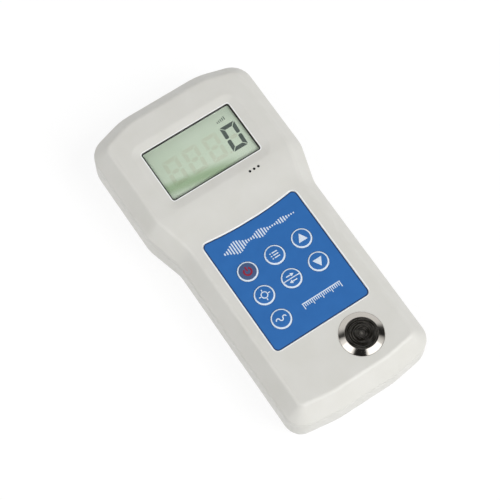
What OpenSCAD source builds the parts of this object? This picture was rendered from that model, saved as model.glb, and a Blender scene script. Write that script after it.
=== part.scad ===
// Handheld ultrasonic thickness gauge, lying on its back.
// The origin is at the middle of the back, +Y points to the display end and +Z out of the face.

/* [Case] */
// Length from the bottom end to the display end
case_l = 132.4; // [128:0.1:140]
// Width of the head, across the display
head_w = 65.4; // [63:0.1:73]
// Width of the grip
grip_w = 57.4; // [56:0.1:61]
// Height of the grip face above the back
grip_h = 26; // [25.5:0.1:30]
// Rise of the head face above the grip face
head_rise = 1.6; // [0.8:0.1:2.4]
// Wall thickness of both shells
wall = 2; // [1.8:0.05:2.3]

/* [Outline] */
// Bottom end to the start of the shoulder
grip_l = 74.4; // [72.6:0.1:78.6]
// Length of the shoulder, where the grip widens to the head
shoulder_l = 14.4; // [11:0.1:16]
// Straight middle of the bottom end
bottom_flat = 23; // [12:0.1:27]
// How far the bottom end draws back at its corners
bottom_rise = 2.45; // [1:0.05:4]
// Straight middle of the display end
top_flat = 32.8; // [24:0.1:38]
// How far the display end draws back at its corners
top_drop = 4.75; // [2:0.05:6]
// Corner radius at the bottom end
bottom_corner_r = 7; // [5:0.1:9]
// Corner radius at the display end
top_corner_r = 8.2; // [6:0.1:10]
// Radius of the two bends of the shoulder
shoulder_r = 12; // [6:0.5:20]
// Radius of the bends beside the straight middles of the ends
bow_r = 24; // [10:1:40]

/* [Edges] */
// Width of the sloped band round the face
band_run = 5.2; // [4.5:0.05:5.9]
// Height of the sloped band
band_drop = 6.2; // [5.5:0.05:6.8]
// Radius between the face and the band
crease_r = 2.4; // [1:0.1:3]
// Radius between the band and the side wall
ridge_r = 1.5; // [0.5:0.1:2.5]
// Upright part of the front shell below the band
lip_h = 1.2; // [0.8:0.1:1.8]
// Chamfer on each shell at the seam
seam_chamfer = 0.3; // [0.15:0.05:0.5]
// Height at which the walls of the back start to lean in
lean_z = 9.4; // [8:0.1:11]
// How far the walls of the back lean in
lean_run = 2.6; // [2:0.1:3]
// Radius round the edge of the back
back_r = 4; // [3:0.1:5]
// Height of the tongue between the shells
tongue_h = 1; // [0.6:0.1:1.4]
// Thickness of the tongue
tongue_t = 0.85; // [0.7:0.05:1]

/* [Display] */
// Width of the opening for the display
win_w = 36.9; // [32:0.1:37.5]
// Height of the opening for the display
win_h = 21.7; // [18:0.1:22]
// Display end to the middle of the opening
win_from_top = 28.45; // [27.5:0.05:29.3]
// Corner radius of the opening
win_r = 0.9; // [0.5:0.1:2]
// Width of the dished slope round the opening
dish_run = 3.9; // [2.5:0.1:4]
// Depth of the dish
dish_depth = 0.8; // [0.3:0.05:1]
// Thickness of the frame's visible rim
frame_rim = 0.3; // [0.25:0.05:0.8]
// Overlap of the frame behind the shell
frame_flange = 3; // [2:0.1:3.2]
// Thickness of the frame's flange
flange_t = 0.5; // [0.4:0.05:0.8]
// Thickness of the shell in front of that flange
frame_cover = 0.7; // [0.6:0.05:1]
// Thickness of the clear window
window_t = 0.5; // [0.4:0.05:0.9]
// Thickness of each sheet of display glass
glass_t = 1.1; // [0.7:0.05:1.3]
// Ledge of the front glass that the contact strips press on
glass_ledge = 2.2; // [1.6:0.1:2.6]
// Width of a contact strip
strip_w = 1.8; // [1.2:0.1:2]
// Diameter of a sound hole
sound_d = 1; // [0.6:0.1:1.5]
// Spacing of the sound holes
sound_pitch = 1.77; // [1.6:0.01:2.4]
// Middle sound hole, sideways
sound_x = 11.76; // [6:0.1:14]
// Middle sound hole, below the middle of the opening
sound_drop = 16.25; // [15.7:0.05:17]
// Diameter of the hollow behind the sound holes
hollow_d = 4.8; // [4.6:0.1:6]
// Least thickness of the shell at that hollow
hollow_wall = 0.5; // [0.4:0.05:1.2]

/* [Keypad] */
// Width of the film's place
label_w = 38.9; // [36:0.1:42]
// Length of the film's place
label_l = 47; // [44:0.1:48]
// Bottom end to the film's place
label_from_end = 27.25; // [26.8:0.05:28.3]
// Corner radius of the film's place
label_r = 1.8; // [1:0.1:3]
// Dip of the film's upper edge
label_dip = 1.45; // [0.5:0.05:3]
// Depth of the film's place
label_depth = 0.7; // [0.5:0.05:0.75]
// Chamfer round the film's place
label_chamfer = 0.2; // [0.1:0.05:0.25]
// Thickness of the film
film_t = 0.35; // [0.2:0.05:0.4]
// Diameter of a key
key_d = 7.5; // [6:0.1:8.5]
// Thickness of a key's pad
key_t = 0.7; // [0.5:0.05:0.8]
// Height of a key's crown
key_crown = 0.25; // [0.05:0.01:0.3]
// Diameter of a key's stem
stem_d = 4; // [3:0.1:4.6]
// Spacing of the keys across
key_pitch_x = 11.25; // [10:0.05:12]
// Spacing of the keys along
key_pitch_y = 10.37; // [10:0.01:11]
// Film's upper corners to the first row of keys
key_from_top = 17.05; // [15:0.05:18]
// Travel of a key
key_travel = 0.4; // [0.2:0.05:0.4]
// Width of a key switch
switch_w = 6; // [5:0.1:6.5]
// Height of a key switch's body
switch_h = 3.1; // [2.4:0.1:3.2]
// Diameter of a switch plunger
plunger_d = 3.4; // [2.5:0.1:4]
// Height of a switch plunger
plunger_h = 0.6; // [0.4:0.05:0.7]

/* [Test block] */
// Diameter of the block
block_d = 16; // [12:0.1:18]
// Diameter of its turned face
block_face_d = 11.6; // [8:0.1:11.8]
// Thickness of the block
block_t = 5; // [4:0.1:5.2]
// Height of the block above the face
block_proud = 1; // [0.5:0.05:1.5]
// Block's centre, sideways
block_x = 8.3; // [0:0.1:9]
// Bottom end to the block's centre
block_from_end = 16.8; // [16.5:0.1:17.3]
// Wall of the cup that holds the block
cup_wall = 1.3; // [1:0.1:1.6]

/* [Battery] */
// Diameter of a cell
cell_d = 10.5; // [9.8:0.05:10.6]
// Length of a cell, with its nub
cell_l = 44.5; // [40:0.1:45]
// Diameter of the nub
nub_d = 3.8; // [3:0.1:5]
// Height of the nub
nub_h = 1; // [0.7:0.05:1.5]
// Room round each cell
cell_room = 0.2; // [0.1:0.05:0.3]
// Length of a coil contact in use
coil_l = 4.7; // [3.5:0.1:5.5]
// Wire of a coil contact
coil_wire = 0.6; // [0.4:0.05:0.8]
// Radius of a coil at its plate
coil_r = 3.6; // [3:0.1:4]
// Radius of a coil at its cell
coil_tip_r = 2; // [1.5:0.1:2.5]
// Turns of a coil
coil_turns = 3; // [2:1:4]
// Thickness of a contact plate
plate_t = 0.4; // [0.3:0.05:0.6]
// Width and height of a contact plate at one cell
plate_w = 8.4; // [7:0.1:9]
// Width of a contact's tab to the board
tab_w = 3; // [2:0.1:4]
// Bottom end to the cells' compartment
bay_from_end = 11.4; // [11.2:0.1:12]
// Wall of the compartment
bay_wall = 1.6; // [1.4:0.05:1.7]
// Roof of the compartment
bay_roof = 1.2; // [1:0.05:1.5]

/* [Battery door] */
// Thickness of the door's floor
door_t = 1.6; // [1.4:0.05:1.8]
// Height of the door's rim
door_h = 4.5; // [4.3:0.05:5]
// How far the door's rails reach inwards
rail_run = 1; // [0.6:0.05:1.1]
// Height of the rails
rail_h = 1.2; // [0.8:0.05:1.3]
// Length of the rails
rail_l = 44; // [30:0.5:45]
// Room between the door and the back shell
door_gap = 0.12; // [0.08:0.01:0.16]
// Number of thumb grooves on the door
thumb_grooves = 5; // [3:1:7]
// Length of a thumb groove
thumb_l = 16; // [10:0.5:20]
// Width of a thumb groove
thumb_w = 1; // [0.6:0.1:1.2]
// Depth of a thumb groove
thumb_depth = 0.5; // [0.3:0.05:0.7]

/* [Probe sockets] */
// Bore that takes the probe's plug
socket_bore = 5; // [4:0.1:5.4]
// Depth of that bore
socket_depth = 6.5; // [5:0.1:7]
// Diameter of a socket's barrel
barrel_d = 7; // [6.6:0.1:7.4]
// Length of a barrel behind its flange
barrel_l = 12; // [11:0.1:12.5]
// Diameter of a socket's flange
flange_d = 9.8; // [9:0.1:10.4]
// Thickness of a socket's flange, which lies level with the display end
socket_flange_t = 2; // [1.8:0.05:2.4]
// Spacing of the two sockets
socket_pitch = 17; // [15:0.1:19]
// Height of the sockets above the back
socket_z = 11.5; // [10.5:0.1:12]
// Wall behind the sockets' seat
seat_wall = 3; // [2.4:0.1:3.4]
// Width of a socket nut across its flats
nut_w = 9; // [8.4:0.1:9.6]
// Thickness of a socket nut
nut_t = 2; // [1.5:0.1:2.4]
// Diameter of a socket's insulator
insulator_d = 3.6; // [3:0.1:3.8]
// Diameter of a centre contact
pin_d = 0.9; // [0.6:0.05:1.2]
// Diameter of a lead from a socket to the board
lead_d = 1.6; // [1.2:0.1:2]

/* [Board] */
// Thickness of the board
board_t = 1.6; // [1:0.05:2]
// Height of the board's upper face above the seam
board_above_seam = 0.2; // [0.1:0.05:0.4]
// Half width of the board in the grip
board_grip = 22; // [21:0.1:23]
// Half width of the board in the head
board_head = 27; // [26.5:0.1:28]
// Display end to the board
board_from_top = 14.6; // [14.4:0.1:15.2]
// Bottom end to the board
board_from_end = 28.6; // [28:0.1:29.2]
// Diameter of the sound transducer
buzzer_d = 9; // [8:0.1:9.4]
// Height of the sound transducer
buzzer_h = 4.6; // [3:0.1:5]

/* [Screws] */
// Shank of a case screw
case_shank = 2.6; // [2.2:0.1:3]
// Head of a case screw
case_head = 4.6; // [4:0.1:4.8]
// Height of a case screw's head
case_head_h = 1.8; // [1.4:0.1:2.2]
// Height of the seat of a case screw's head
case_seat_z = 11; // [9:0.1:12]
// Reach of a case screw above the seam
case_reach = 3.8; // [2.5:0.1:4]
// Diameter of the posts for the case screws
post_d = 6.4; // [6:0.1:6.8]
// Shank of a board screw
board_shank = 2; // [1.6:0.1:2.4]
// Head of a board screw
board_head_d = 3.8; // [3.2:0.1:4.2]
// Height of a board screw's head
board_head_h = 1.4; // [1:0.1:1.6]
// Reach of a board screw above the board
board_reach = 3.6; // [2:0.1:4]
// Diameter of the posts for the board screws
board_post_d = 4.4; // [4:0.1:5]

/* [Fits] */
// Gap between pieces that drop into place
drop_fit = 0.1; // [0.05:0.01:0.15]
// Gap between pieces that slide or screw together
close_fit = 0.05; // [0.02:0.01:0.08]

/* [Hidden] */
SHELL = "#d9d8d3";
SCREEN_BLACK = "#17181a";
FILM_BLUE = "#3f73b5";
STEEL = "#b9bbbd";
NICKEL = "#c9c8c2";
BOARD_GREEN = "#1f6b46";

$fn = 48;
past = 1;
min_corner_r = 1;
face_reach = 10;
shoulder_steps = 6;
rise_lap = 1.15;
rise_margin = 0.6;
lean_bend_r = 20;

y_top = case_l / 2;
y_bot = -case_l / 2;
y_shoulder = y_bot + grip_l;
y_head = y_shoulder + shoulder_l;
z_head = grip_h + head_rise;
z_ridge = grip_h - band_drop;
z_seam = z_ridge - lip_h;
z_ceiling = grip_h - wall;
z_head_ceiling = z_head - wall;
band_l = norm([band_run, band_drop]);

y_win = y_top - win_from_top;
frame_w = win_w - 2 * drop_fit;
frame_h = win_h - 2 * drop_fit;
clear_w = frame_w - 2 * frame_rim;
clear_h = frame_h - 2 * frame_rim;
frame_reveal = 0.15;
z_rim = z_head - dish_depth - frame_reveal;
z_cover = z_head - dish_depth - frame_cover;
z_glass = z_cover - flange_t;
glass_margin = 0.5;
glass_w = frame_w + 2 * (frame_flange - 2 * glass_margin);
glass_h = frame_h + 2 * (frame_flange - glass_margin);
strip_end = 2;

z_board = z_seam + board_above_seam;
z_board_low = z_board - board_t;
y_board_top = y_top - board_from_top;
y_board_low = y_bot + board_from_end;

// Parts under the board, measured from the middle of the display
below_window = 6;
buzzer_offset = 2;

y_label = y_bot + label_from_end;
y_rise_low = y_label + label_l - rise_lap;
y_rise_high = y_win - frame_h / 2 - frame_flange - rise_margin;
y_sound = y_win - sound_drop;
z_label = grip_h - label_depth;
z_film = z_label + film_t;
z_pad_low = z_film - key_t;
key_stop = 0.1;
z_key_seat = z_pad_low - key_travel - key_stop;
z_plunger = z_board + switch_h + plunger_h;
z_stem = z_plunger + key_travel + key_stop;
guide_wall = 1;
guide_l = 0.5;

y_block = y_bot + block_from_end;
z_block = grip_h + block_proud - block_t;

cell_pitch = cell_d + cell_room;
cell_float = 0.3;
z_cell_low = door_t + cell_float;
z_cell = z_cell_low + cell_d / 2;
bay_w = 4 * cell_pitch + 2 * cell_room;
bay_l = cell_l + coil_l + 2 * plate_t;
y_bay = y_bot + bay_from_end;
y_bay_top = y_bay + bay_l;
z_bay = z_cell_low + cell_d + cell_float;
door_over = 2;
y_door = y_bay_top + door_over;
skirt_w = bay_w + 2 * bay_wall;
bay_shelf = 1.2;
bay_side = skirt_w / 2 + bay_shelf;
rim_room = 3 * door_gap;
rim_inset = grip_w / 2 - skirt_w / 2 - rim_room;
rail_below_rim = 0.35;
rail_root = 0.4;
rail_z = door_h - rail_h - rail_below_rim;
rail_from_bay = 3;
y_rail = y_bay + rail_from_bay;
thumb_from_seam = 8;

y_seat = y_top - socket_flange_t;
y_seat_back = y_seat - seat_wall;
y_bore = y_top - socket_depth;
y_barrel = y_seat - barrel_l;
flange_chamfer = 0.4;
seat_margin = 1.2;
pin_tail = 1;
pin_sink = 0.2;

// Insets of the screws from the side and from the end, two by the display end and two by the bottom end
case_inset_high = [12.3, 10.9];
case_inset_low = [9, 6.4];
board_inset_high = [2.7, 3.8];
board_inset_low = [2.5, 2.5];
case_screw_high = [head_w / 2 - case_inset_high.x, y_top - case_inset_high.y];
case_screw_low = [grip_w / 2 - case_inset_low.x, y_bot + case_inset_low.y];
board_screw_high = [board_head - board_inset_high.x, y_board_top - board_inset_high.y];
board_screw_low = [board_grip - board_inset_low.x, y_board_low + board_inset_low.y];
case_screw_at = [for (p = [case_screw_high, case_screw_low]) for (side = [1, -1]) [side * p.x, p.y]];
board_screw_at = [for (p = [board_screw_high, board_screw_low]) for (side = [1, -1]) [side * p.x, p.y]];
screw_relief = 0.6;
boss_step = 0.8;

// Name, column and row of each key
KEYS = [
    ["power", 0, 0],
    ["code", 1, 0],
    ["up", 2, 0],
    ["calibrate", 0, 1],
    ["unit", 1, 1],
    ["down", 2, 1],
    ["velocity", 0, 2]
];

// First and last cell that each contact plate joins: two pairs at the bottom end, and at the upper end a
// pair between two single cells
PLATES = concat(
    [for (i = [0, 2]) [i, i + 1, "low"]],
    [for (i = [0, 1, 3]) [i, i == 1 ? i + 1 : i, "high"]]
);

SIDES = ["right", "left"];

// Plane geometry

function unit(v) = v / norm(v);
function turned(v, a) = [v.x * cos(a) - v.y * sin(a), v.x * sin(a) + v.y * cos(a)];
function flipped(p) = [-p.x, p.y];
function whole(half) = concat(half, [for (i = [len(half) - 1 : -1 : 0]) flipped(half[i])]);
function moved(path, x, y) = [for (p = path) [p.x + x, p.y + y]];
function ease(t) = t <= 0 ? 0 : t >= 1 ? 1 : t * t * (3 - 2 * t);

// Where the line through p along u meets the line through q along v
function meeting(p, u, q, v) = p + u * cross(q - p, v) / cross(u, v);

// The arc of radius r, in n steps, that rounds the corner b between a and c
function fillet(a, b, c, r, n) =
    let (
        u = unit(a - b),
        v = unit(c - b),
        half = acos(u * v) / 2,
        centre = b + unit(u + v) * r / sin(half),
        start = b + u * r / tan(half) - centre,
        turn = (180 - 2 * half) * sign(cross(b - a, c - b))
    )
    [for (i = [0 : n]) centre + turned(start, turn * i / n)];

// The corner b between a and c, moved inwards by d on a path that runs anticlockwise
function inset_corner(a, b, c, d) =
    let (
        u = unit(b - a),
        v = unit(c - b)
    )
    meeting(b + d * [-u.y, u.x], u, b + d * [-v.y, v.x], v);

// Right half of a rounded rectangle, bottom to top
function rect_half(w, h, r, n = 5) =
    concat(
        fillet([-w / 2, -h / 2], [w / 2, -h / 2], [w / 2, h / 2], r, n),
        fillet([w / 2, -h / 2], [w / 2, h / 2], [-w / 2, h / 2], r, n)
    );

// Outline of the case

// Corner, radius and arc steps, up the right side, with a mirrored corner at each end
CORNERS = [
    [[-bottom_flat / 2, y_bot], 0, 0],
    [[bottom_flat / 2, y_bot], bow_r, 2],
    [[grip_w / 2, y_bot + bottom_rise], bottom_corner_r, 8],
    [[grip_w / 2, y_shoulder], shoulder_r, 4],
    [[head_w / 2, y_head], shoulder_r, 4],
    [[head_w / 2, y_top - top_drop], top_corner_r, 8],
    [[top_flat / 2, y_top], bow_r, 3],
    [[-top_flat / 2, y_top], 0, 0]
];
shoulder_corner = 3;
last_corner = 6;

function corner_in(i, d) = inset_corner(CORNERS[i - 1][0], CORNERS[i][0], CORNERS[i + 1][0], d);

// A convex corner tightens as the outline moves in, and a hollow one opens
function corner_r(i, d) =
    let (
        into = CORNERS[i][0] - CORNERS[i - 1][0],
        out = CORNERS[i + 1][0] - CORNERS[i][0]
    )
    cross(into, out) > 0 ? max(CORNERS[i][1] - d, min_corner_r) : CORNERS[i][1] + d;

// Right half of the case's outline, d inside its widest level
function case_half(d) =
    let (
        inner = [for (i = [1 : last_corner]) corner_in(i, d)],
        c = concat([flipped(inner[0])], inner, [flipped(inner[last_corner - 1])]),
        arcs = [for (i = [1 : last_corner]) fillet(c[i - 1], c[i], c[i + 1], corner_r(i, d), CORNERS[i][2])],
        low = arcs[shoulder_corner - 1][CORNERS[shoulder_corner][2]],
        high = arcs[shoulder_corner][0],
        between = [for (k = [1 : shoulder_steps - 1]) low + (high - low) * k / shoulder_steps]
    )
    [for (i = [1 : last_corner]) each concat(arcs[i - 1], i == shoulder_corner ? between : [])];

// Height that the face gains from the film to the display's frame
function rise(y) = head_rise * ease((y - y_rise_low) / (y_rise_high - y_rise_low));

// One ring of the case: a profile point [inset, height, share of the rise]
function case_ring(p) = [for (q = whole(case_half(p[0]))) [q.x, q.y, p[1] + p[2] * rise(q.y)]];

function with_rise(points, share) = [for (p = points) [p.x, p.y, share]];

FRONT_PROFILE = concat(
    [[seam_chamfer, z_seam, 0], [0, z_seam + seam_chamfer, 0]],
    with_rise(fillet([0, z_seam], [0, z_ridge], [band_run, grip_h], ridge_r, 2), 1),
    with_rise(fillet([0, z_ridge], [band_run, grip_h], [band_run + face_reach, grip_h], crease_r, 4), 1)
);

FRONT_CAVITY = [
    [wall, z_seam - past, 0],
    [wall, z_ridge - wall * (band_l - band_drop) / band_run, 1],
    [(wall * band_l + (z_ceiling - z_ridge) * band_run) / band_drop, z_ceiling, 1]
];

BACK_PROFILE = concat(
    with_rise(fillet([lean_run + face_reach, 0], [lean_run, 0], [0, lean_z], back_r, 5), 0),
    with_rise(fillet([lean_run, 0], [0, lean_z], [0, z_seam], lean_bend_r, 3), 0),
    [[0, z_seam - seam_chamfer, 0], [seam_chamfer, z_seam, 0]]
);

BACK_CAVITY = [
    [lean_run + wall, wall, 0],
    [wall, lean_z, 0],
    [wall, z_seam + past, 0]
];

// Solids

// A closed skin through rings of equal count, each symmetric about the middle, from low to high
module loft(rings) {
    n = len(rings[0]);
    top = (len(rings) - 1) * n;
    sides = [
        for (k = [0 : len(rings) - 2])
            for (i = [0 : n - 1])
                let (a = k * n + i, b = k * n + (i + 1) % n)
                    each [[a, a + n, b + n], [a, b + n, b]]
    ];
    caps = [
        for (i = [0 : n / 2 - 2])
            let (j = n - 1 - i)
                each [
                    [i, i + 1, j - 1],
                    [i, j - 1, j],
                    [top + i, top + j, top + j - 1],
                    [top + i, top + j - 1, top + i + 1]
                ]
    ];
    polyhedron([for (r = rings) each r], concat(sides, caps));
}

module case_loft(profile) {
    loft([for (p = profile) case_ring(p)]);
}

module prism(half, z0, z1) {
    translate([0, 0, z0])
        linear_extrude(z1 - z0)
            polygon(whole(half));
}

module rod(d, x, y, z0, z1) {
    translate([x, y, z0])
        cylinder(d = d, h = z1 - z0);
}

// A rod along +Y from y0 to y1
module rod_y(d, x, z, y0, y1, sides = $fn) {
    translate([x, y0, z])
        rotate([-90, 0, 0])
            cylinder(d = d, h = y1 - y0, $fn = sides);
}

module box(x0, x1, y0, y1, z0, z1) {
    translate([x0, y0, z0])
        cube([x1 - x0, y1 - y0, z1 - z0]);
}

// A round wire through the points of path, which never runs along the direction up
module wire(path, d, sides, up) {
    last = len(path) - 1;
    rings = [
        for (i = [0 : last])
            let (
                t = unit(path[min(i + 1, last)] - path[max(i - 1, 0)]),
                u = unit(cross(t, up)),
                v = cross(u, t)
            )
                [
                    for (k = [0 : sides - 1])
                        let (a = 360 * k / sides)
                            path[i] + (u * cos(a) + v * sin(a)) * d / 2
                ]
    ];
    skin = [
        for (i = [0 : last - 1])
            for (k = [0 : sides - 1])
                let (a = i * sides + k, b = i * sides + (k + 1) % sides)
                    each [[a, b, b + sides], [a, b + sides, a + sides]]
    ];
    start = [for (k = [sides - 1 : -1 : 0]) k];
    end = [for (k = [0 : sides - 1]) last * sides + k];
    polyhedron([for (r = rings) each r], concat(skin, [start, end]));
}

// Places shared by several pieces

function key_x(k) = (k[1] - 1) * key_pitch_x;
function key_y(k) = y_label + label_l - key_from_top - k[2] * key_pitch_y;
function cell_x(i) = (i - 1.5) * cell_pitch;

// Cells 0 and 2 point their nubs down, and cells 1 and 3 up
function nub_up(i) = i % 2 == 1;
function socket_x(i) = (i == 0 ? 1 : -1) * socket_pitch / 2;

// Right half of the film's outline, drawn in by gap, with a dipped upper edge
function label_half(gap) =
    let (
        w = label_w / 2 - gap,
        low = y_label + gap,
        high = y_label + label_l - gap,
        r = (w * w + label_dip * label_dip) / (2 * label_dip),
        dipped = [for (k = [4 : -1 : 1]) let (x = w * k / 5) [x, high - label_dip + r - sqrt(r * r - x * x)]]
    )
    concat(
        fillet([-w, low], [w, low], [w, high], label_r, 5),
        fillet([w, low], [w, high], dipped[0], label_r, 5),
        dipped
    );

function label_ring(gap, z) = [for (p = whole(label_half(gap))) [p.x, p.y, z]];

// The plate of the display frame's flange, drawn out by gap
module flange_plate(gap, z0, z1) {
    w = frame_w + 2 * (frame_flange + gap);
    h = frame_h + 2 * (frame_flange + gap);
    prism(moved(rect_half(w, h, 2 * win_r + gap), 0, y_win), z0, z1);
}

// Front shell

module front_posts() {
    for (p = case_screw_at)
        rod(post_d - boss_step, p.x, p.y, z_seam - 2 * past, z_head);
    for (p = board_screw_at)
        rod(board_post_d, p.x, p.y, z_board, z_head);
    for (k = KEYS)
        rod(stem_d + 2 * (close_fit + guide_wall), key_x(k), key_y(k), z_ceiling - guide_l, z_head);
    rod(block_d + 2 * cup_wall, block_x, y_block, z_block - cup_wall, z_head);
}

module display_dish() {
    steps = 4;
    loft(concat(
        [for (i = [steps : -1 : 0]) dish_ring(i / steps, -dish_depth * ease(i / steps))],
        [dish_ring(-1 / steps, dish_depth / 8), dish_ring(-1 / steps, past)]
    ));
}

// A ring of the dish: s runs from 0 at its outer edge to 1 at the opening
function dish_ring(s, dz) =
    let (
        out = 2 * dish_run * (1 - s),
        half = rect_half(win_w + out, win_h + out, win_r + out / 2)
    )
    [for (p = whole(half)) [p.x, p.y + y_win, z_head + dz]];

// The film's place, with a chamfer at the face
module film_place() {
    loft([
        label_ring(0, z_label),
        label_ring(0, grip_h - label_chamfer),
        label_ring(-label_chamfer, grip_h),
        label_ring(-label_chamfer, z_head + past)
    ]);
}

module front_shell() color(SHELL) difference() {
    case_loft(FRONT_PROFILE);
    difference() {
        case_loft(FRONT_CAVITY);
        front_posts();
    }
    difference() {
        prism(case_half(wall - tongue_t - drop_fit), z_seam - past, z_seam + tongue_h + drop_fit);
        prism(case_half(wall + drop_fit), z_seam - 2 * past, z_seam + 2 * past);
    }
    display_dish();
    prism(moved(rect_half(win_w, win_h, win_r), 0, y_win), z_head_ceiling - past, z_head);
    flange_plate(drop_fit, z_head_ceiling - past, z_cover);
    film_place();
    for (k = KEYS) {
        rod(key_d + 2 * drop_fit, key_x(k), key_y(k), z_key_seat, grip_h);
        rod(stem_d + 2 * close_fit, key_x(k), key_y(k), z_seam, grip_h);
    }
    rod(block_d + 2 * close_fit, block_x, y_block, z_block, grip_h + past);
    for (i = [-1 : 1])
        rod(sound_d, sound_x + i * sound_pitch, y_sound, z_ceiling - past, z_head + past);
    rod(hollow_d, sound_x, y_sound, z_ceiling - past, grip_h + rise(y_sound - hollow_d / 2) - hollow_wall);
    for (p = case_screw_at)
        rod(case_shank + 2 * close_fit, p.x, p.y, z_seam - past, z_seam + case_reach + screw_relief);
    for (p = board_screw_at)
        rod(board_shank + 2 * close_fit, p.x, p.y, z_board - past, z_board + board_reach + screw_relief);
}

// Back shell

// The compartment's outer block above the door's rim
module bay_block() {
    box(-bay_side, bay_side, y_bay - bay_wall, y_door + past, 0, z_bay + bay_roof);
}

// The compartment's walls that reach down into the door
module bay_skirt() {
    difference() {
        box(
            -skirt_w / 2, skirt_w / 2,
            y_bay - bay_wall, y_door + past / 2, door_t + door_gap, door_h + past / 2
        );
        for (side = [0, 1])
            mirror([side, 0, 0])
                box(
                    skirt_w / 2 - rail_run, skirt_w / 2 + past,
                    y_bay - bay_wall - past, y_rail + rail_l + door_gap,
                    rail_z - door_gap, rail_z + rail_h + door_gap
                );
    }
}

module back_posts() {
    for (p = case_screw_at)
        rod(post_d, p.x, p.y, 0, z_seam - drop_fit);
    box(
        -socket_pitch / 2 - flange_d, socket_pitch / 2 + flange_d,
        y_seat_back, y_top, socket_z - flange_d / 2 - seat_margin, socket_z + flange_d / 2 + seat_margin
    );
}

module tongue() {
    difference() {
        prism(case_half(wall - tongue_t), z_seam - past / 2, z_seam + tongue_h);
        prism(case_half(wall), z_seam - past, z_seam + 2 * past);
    }
}

module back_shell() color(SHELL) difference() {
    union() {
        difference() {
            case_loft(BACK_PROFILE);
            difference() {
                case_loft(BACK_CAVITY);
                bay_block();
                back_posts();
            }
            box(-head_w, head_w, y_bot - past, y_door, -past, door_h);
        }
        bay_skirt();
        tongue();
    }
    box(-bay_w / 2, bay_w / 2, y_bay, y_bay_top, -past, z_bay);
    for (i = [0, 3])
        box(
            cell_x(i) - tab_w / 2 - drop_fit, cell_x(i) + tab_w / 2 + drop_fit,
            y_bay_top - plate_t - 2 * drop_fit, y_bay_top, z_bay - past, z_bay + bay_roof + past
        );
    for (p = case_screw_at) {
        rod(case_head + 2 * drop_fit, p.x, p.y, -past, case_seat_z);
        rod(case_shank + 2 * drop_fit, p.x, p.y, 0, z_seam + past);
    }
    for (i = [0, 1]) {
        rod_y(flange_d + 4 * drop_fit, socket_x(i), socket_z, y_seat, y_top + past);
        rod_y(barrel_d + 2 * close_fit, socket_x(i), socket_z, y_seat_back - past, y_top);
    }
}

// Battery door

module battery_door() color(SHELL) difference() {
    union() {
        difference() {
            case_loft(BACK_PROFILE);
            box(-head_w, head_w, y_bot - past, y_top + past, door_h - door_gap, z_seam + past);
            box(-head_w, head_w, y_door - door_gap, y_top + past, -past, z_seam);
            prism(case_half(rim_inset), door_t, z_seam);
        }
        for (side = [0, 1])
            mirror([side, 0, 0])
                box(
                    skirt_w / 2 - rail_run + door_gap, skirt_w / 2 + rim_room + rail_root,
                    y_rail, y_rail + rail_l, rail_z, rail_z + rail_h
                );
    }
    for (i = [0 : thumb_grooves - 1])
        let (y = y_door - thumb_from_seam - 2 * i * thumb_w)
            box(-thumb_l / 2, thumb_l / 2, y, y + thumb_w, -past, thumb_depth);
}

// Display

module display_frame() color(SCREEN_BLACK) difference() {
    union() {
        prism(moved(rect_half(frame_w, frame_h, win_r), 0, y_win), z_glass, z_rim);
        flange_plate(0, z_glass, z_cover);
    }
    prism(moved(rect_half(clear_w, clear_h, win_r / 2), 0, y_win), z_glass - past, z_rim + past);
}

module display_window() color("#e8efe8") {
    w = clear_w - 2 * close_fit;
    h = clear_h - 2 * close_fit;
    prism(moved(rect_half(w, h, win_r / 2), 0, y_win), z_glass, z_glass + window_t);
}

module lcd_panel() color("#b9c7b4") {
    rear_h = glass_h - 2 * glass_ledge;
    box(-glass_w / 2, glass_w / 2, y_win - glass_h / 2, y_win + glass_h / 2, z_glass - glass_t, z_glass);
    box(
        -glass_w / 2, glass_w / 2,
        y_win - rear_h / 2, y_win + rear_h / 2, z_glass - 2 * glass_t, z_glass - glass_t
    );
}

module contact_strip(side) color("#d98a9a") {
    y = y_win + side * (glass_h - glass_ledge) / 2;
    box(
        -glass_w / 2 + strip_end, glass_w / 2 - strip_end,
        y - strip_w / 2, y + strip_w / 2, z_board, z_glass - glass_t
    );
}

// Keypad

module keypad_film() color(FILM_BLUE) difference() {
    prism(label_half(drop_fit), z_label, z_film);
    for (k = KEYS)
        rod(key_d + 2 * drop_fit, key_x(k), key_y(k), z_label - past, z_film + past);
}

// A key: a crowned pad on a stem, turned about its own axis
module key(k) color(FILM_BLUE) {
    r = key_d / 2;
    edge = 0.12;
    steps = 8;
    crown = [
        for (i = [steps : -1 : 0])
            let (t = i / steps)
                [(r - edge) * t, z_film + key_crown * (1 - pow(t, 4))]
    ];
    translate([key_x(k), key_y(k), 0])
        rotate_extrude()
            polygon(concat(
                [[0, z_stem], [stem_d / 2, z_stem], [stem_d / 2, z_pad_low]],
                [[r, z_pad_low], [r, z_film - edge]],
                crown
            ));
}

module key_switch(k) color("#26272a") {
    x = key_x(k);
    y = key_y(k);
    box(x - switch_w / 2, x + switch_w / 2, y - switch_w / 2, y + switch_w / 2, z_board, z_board + switch_h);
    rod(plunger_d, x, y, z_board, z_plunger);
}

// Test block

module test_block() color(STEEL) {
    r = block_d / 2;
    face = block_face_d / 2;
    z_top = grip_h + block_proud;
    dot_r = 0.4;
    translate([block_x, y_block, 0])
        rotate_extrude()
            polygon([
                [0, z_block],
                [r, z_block],
                [r, grip_h],
                [face, z_top],
                [dot_r, z_top],
                [0, z_top - dot_r]
            ]);
}

// Board and what it carries

module main_board() color(BOARD_GREEN) difference() {
    translate([0, 0, z_board_low])
        linear_extrude(board_t)
            polygon(whole([
                [board_grip, y_board_low],
                [board_grip, y_shoulder],
                [board_head, y_head],
                [board_head, y_board_top]
            ]));
    for (p = board_screw_at)
        rod(board_shank + 2 * drop_fit, p.x, p.y, z_board_low - past, z_board + past);
}

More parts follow.
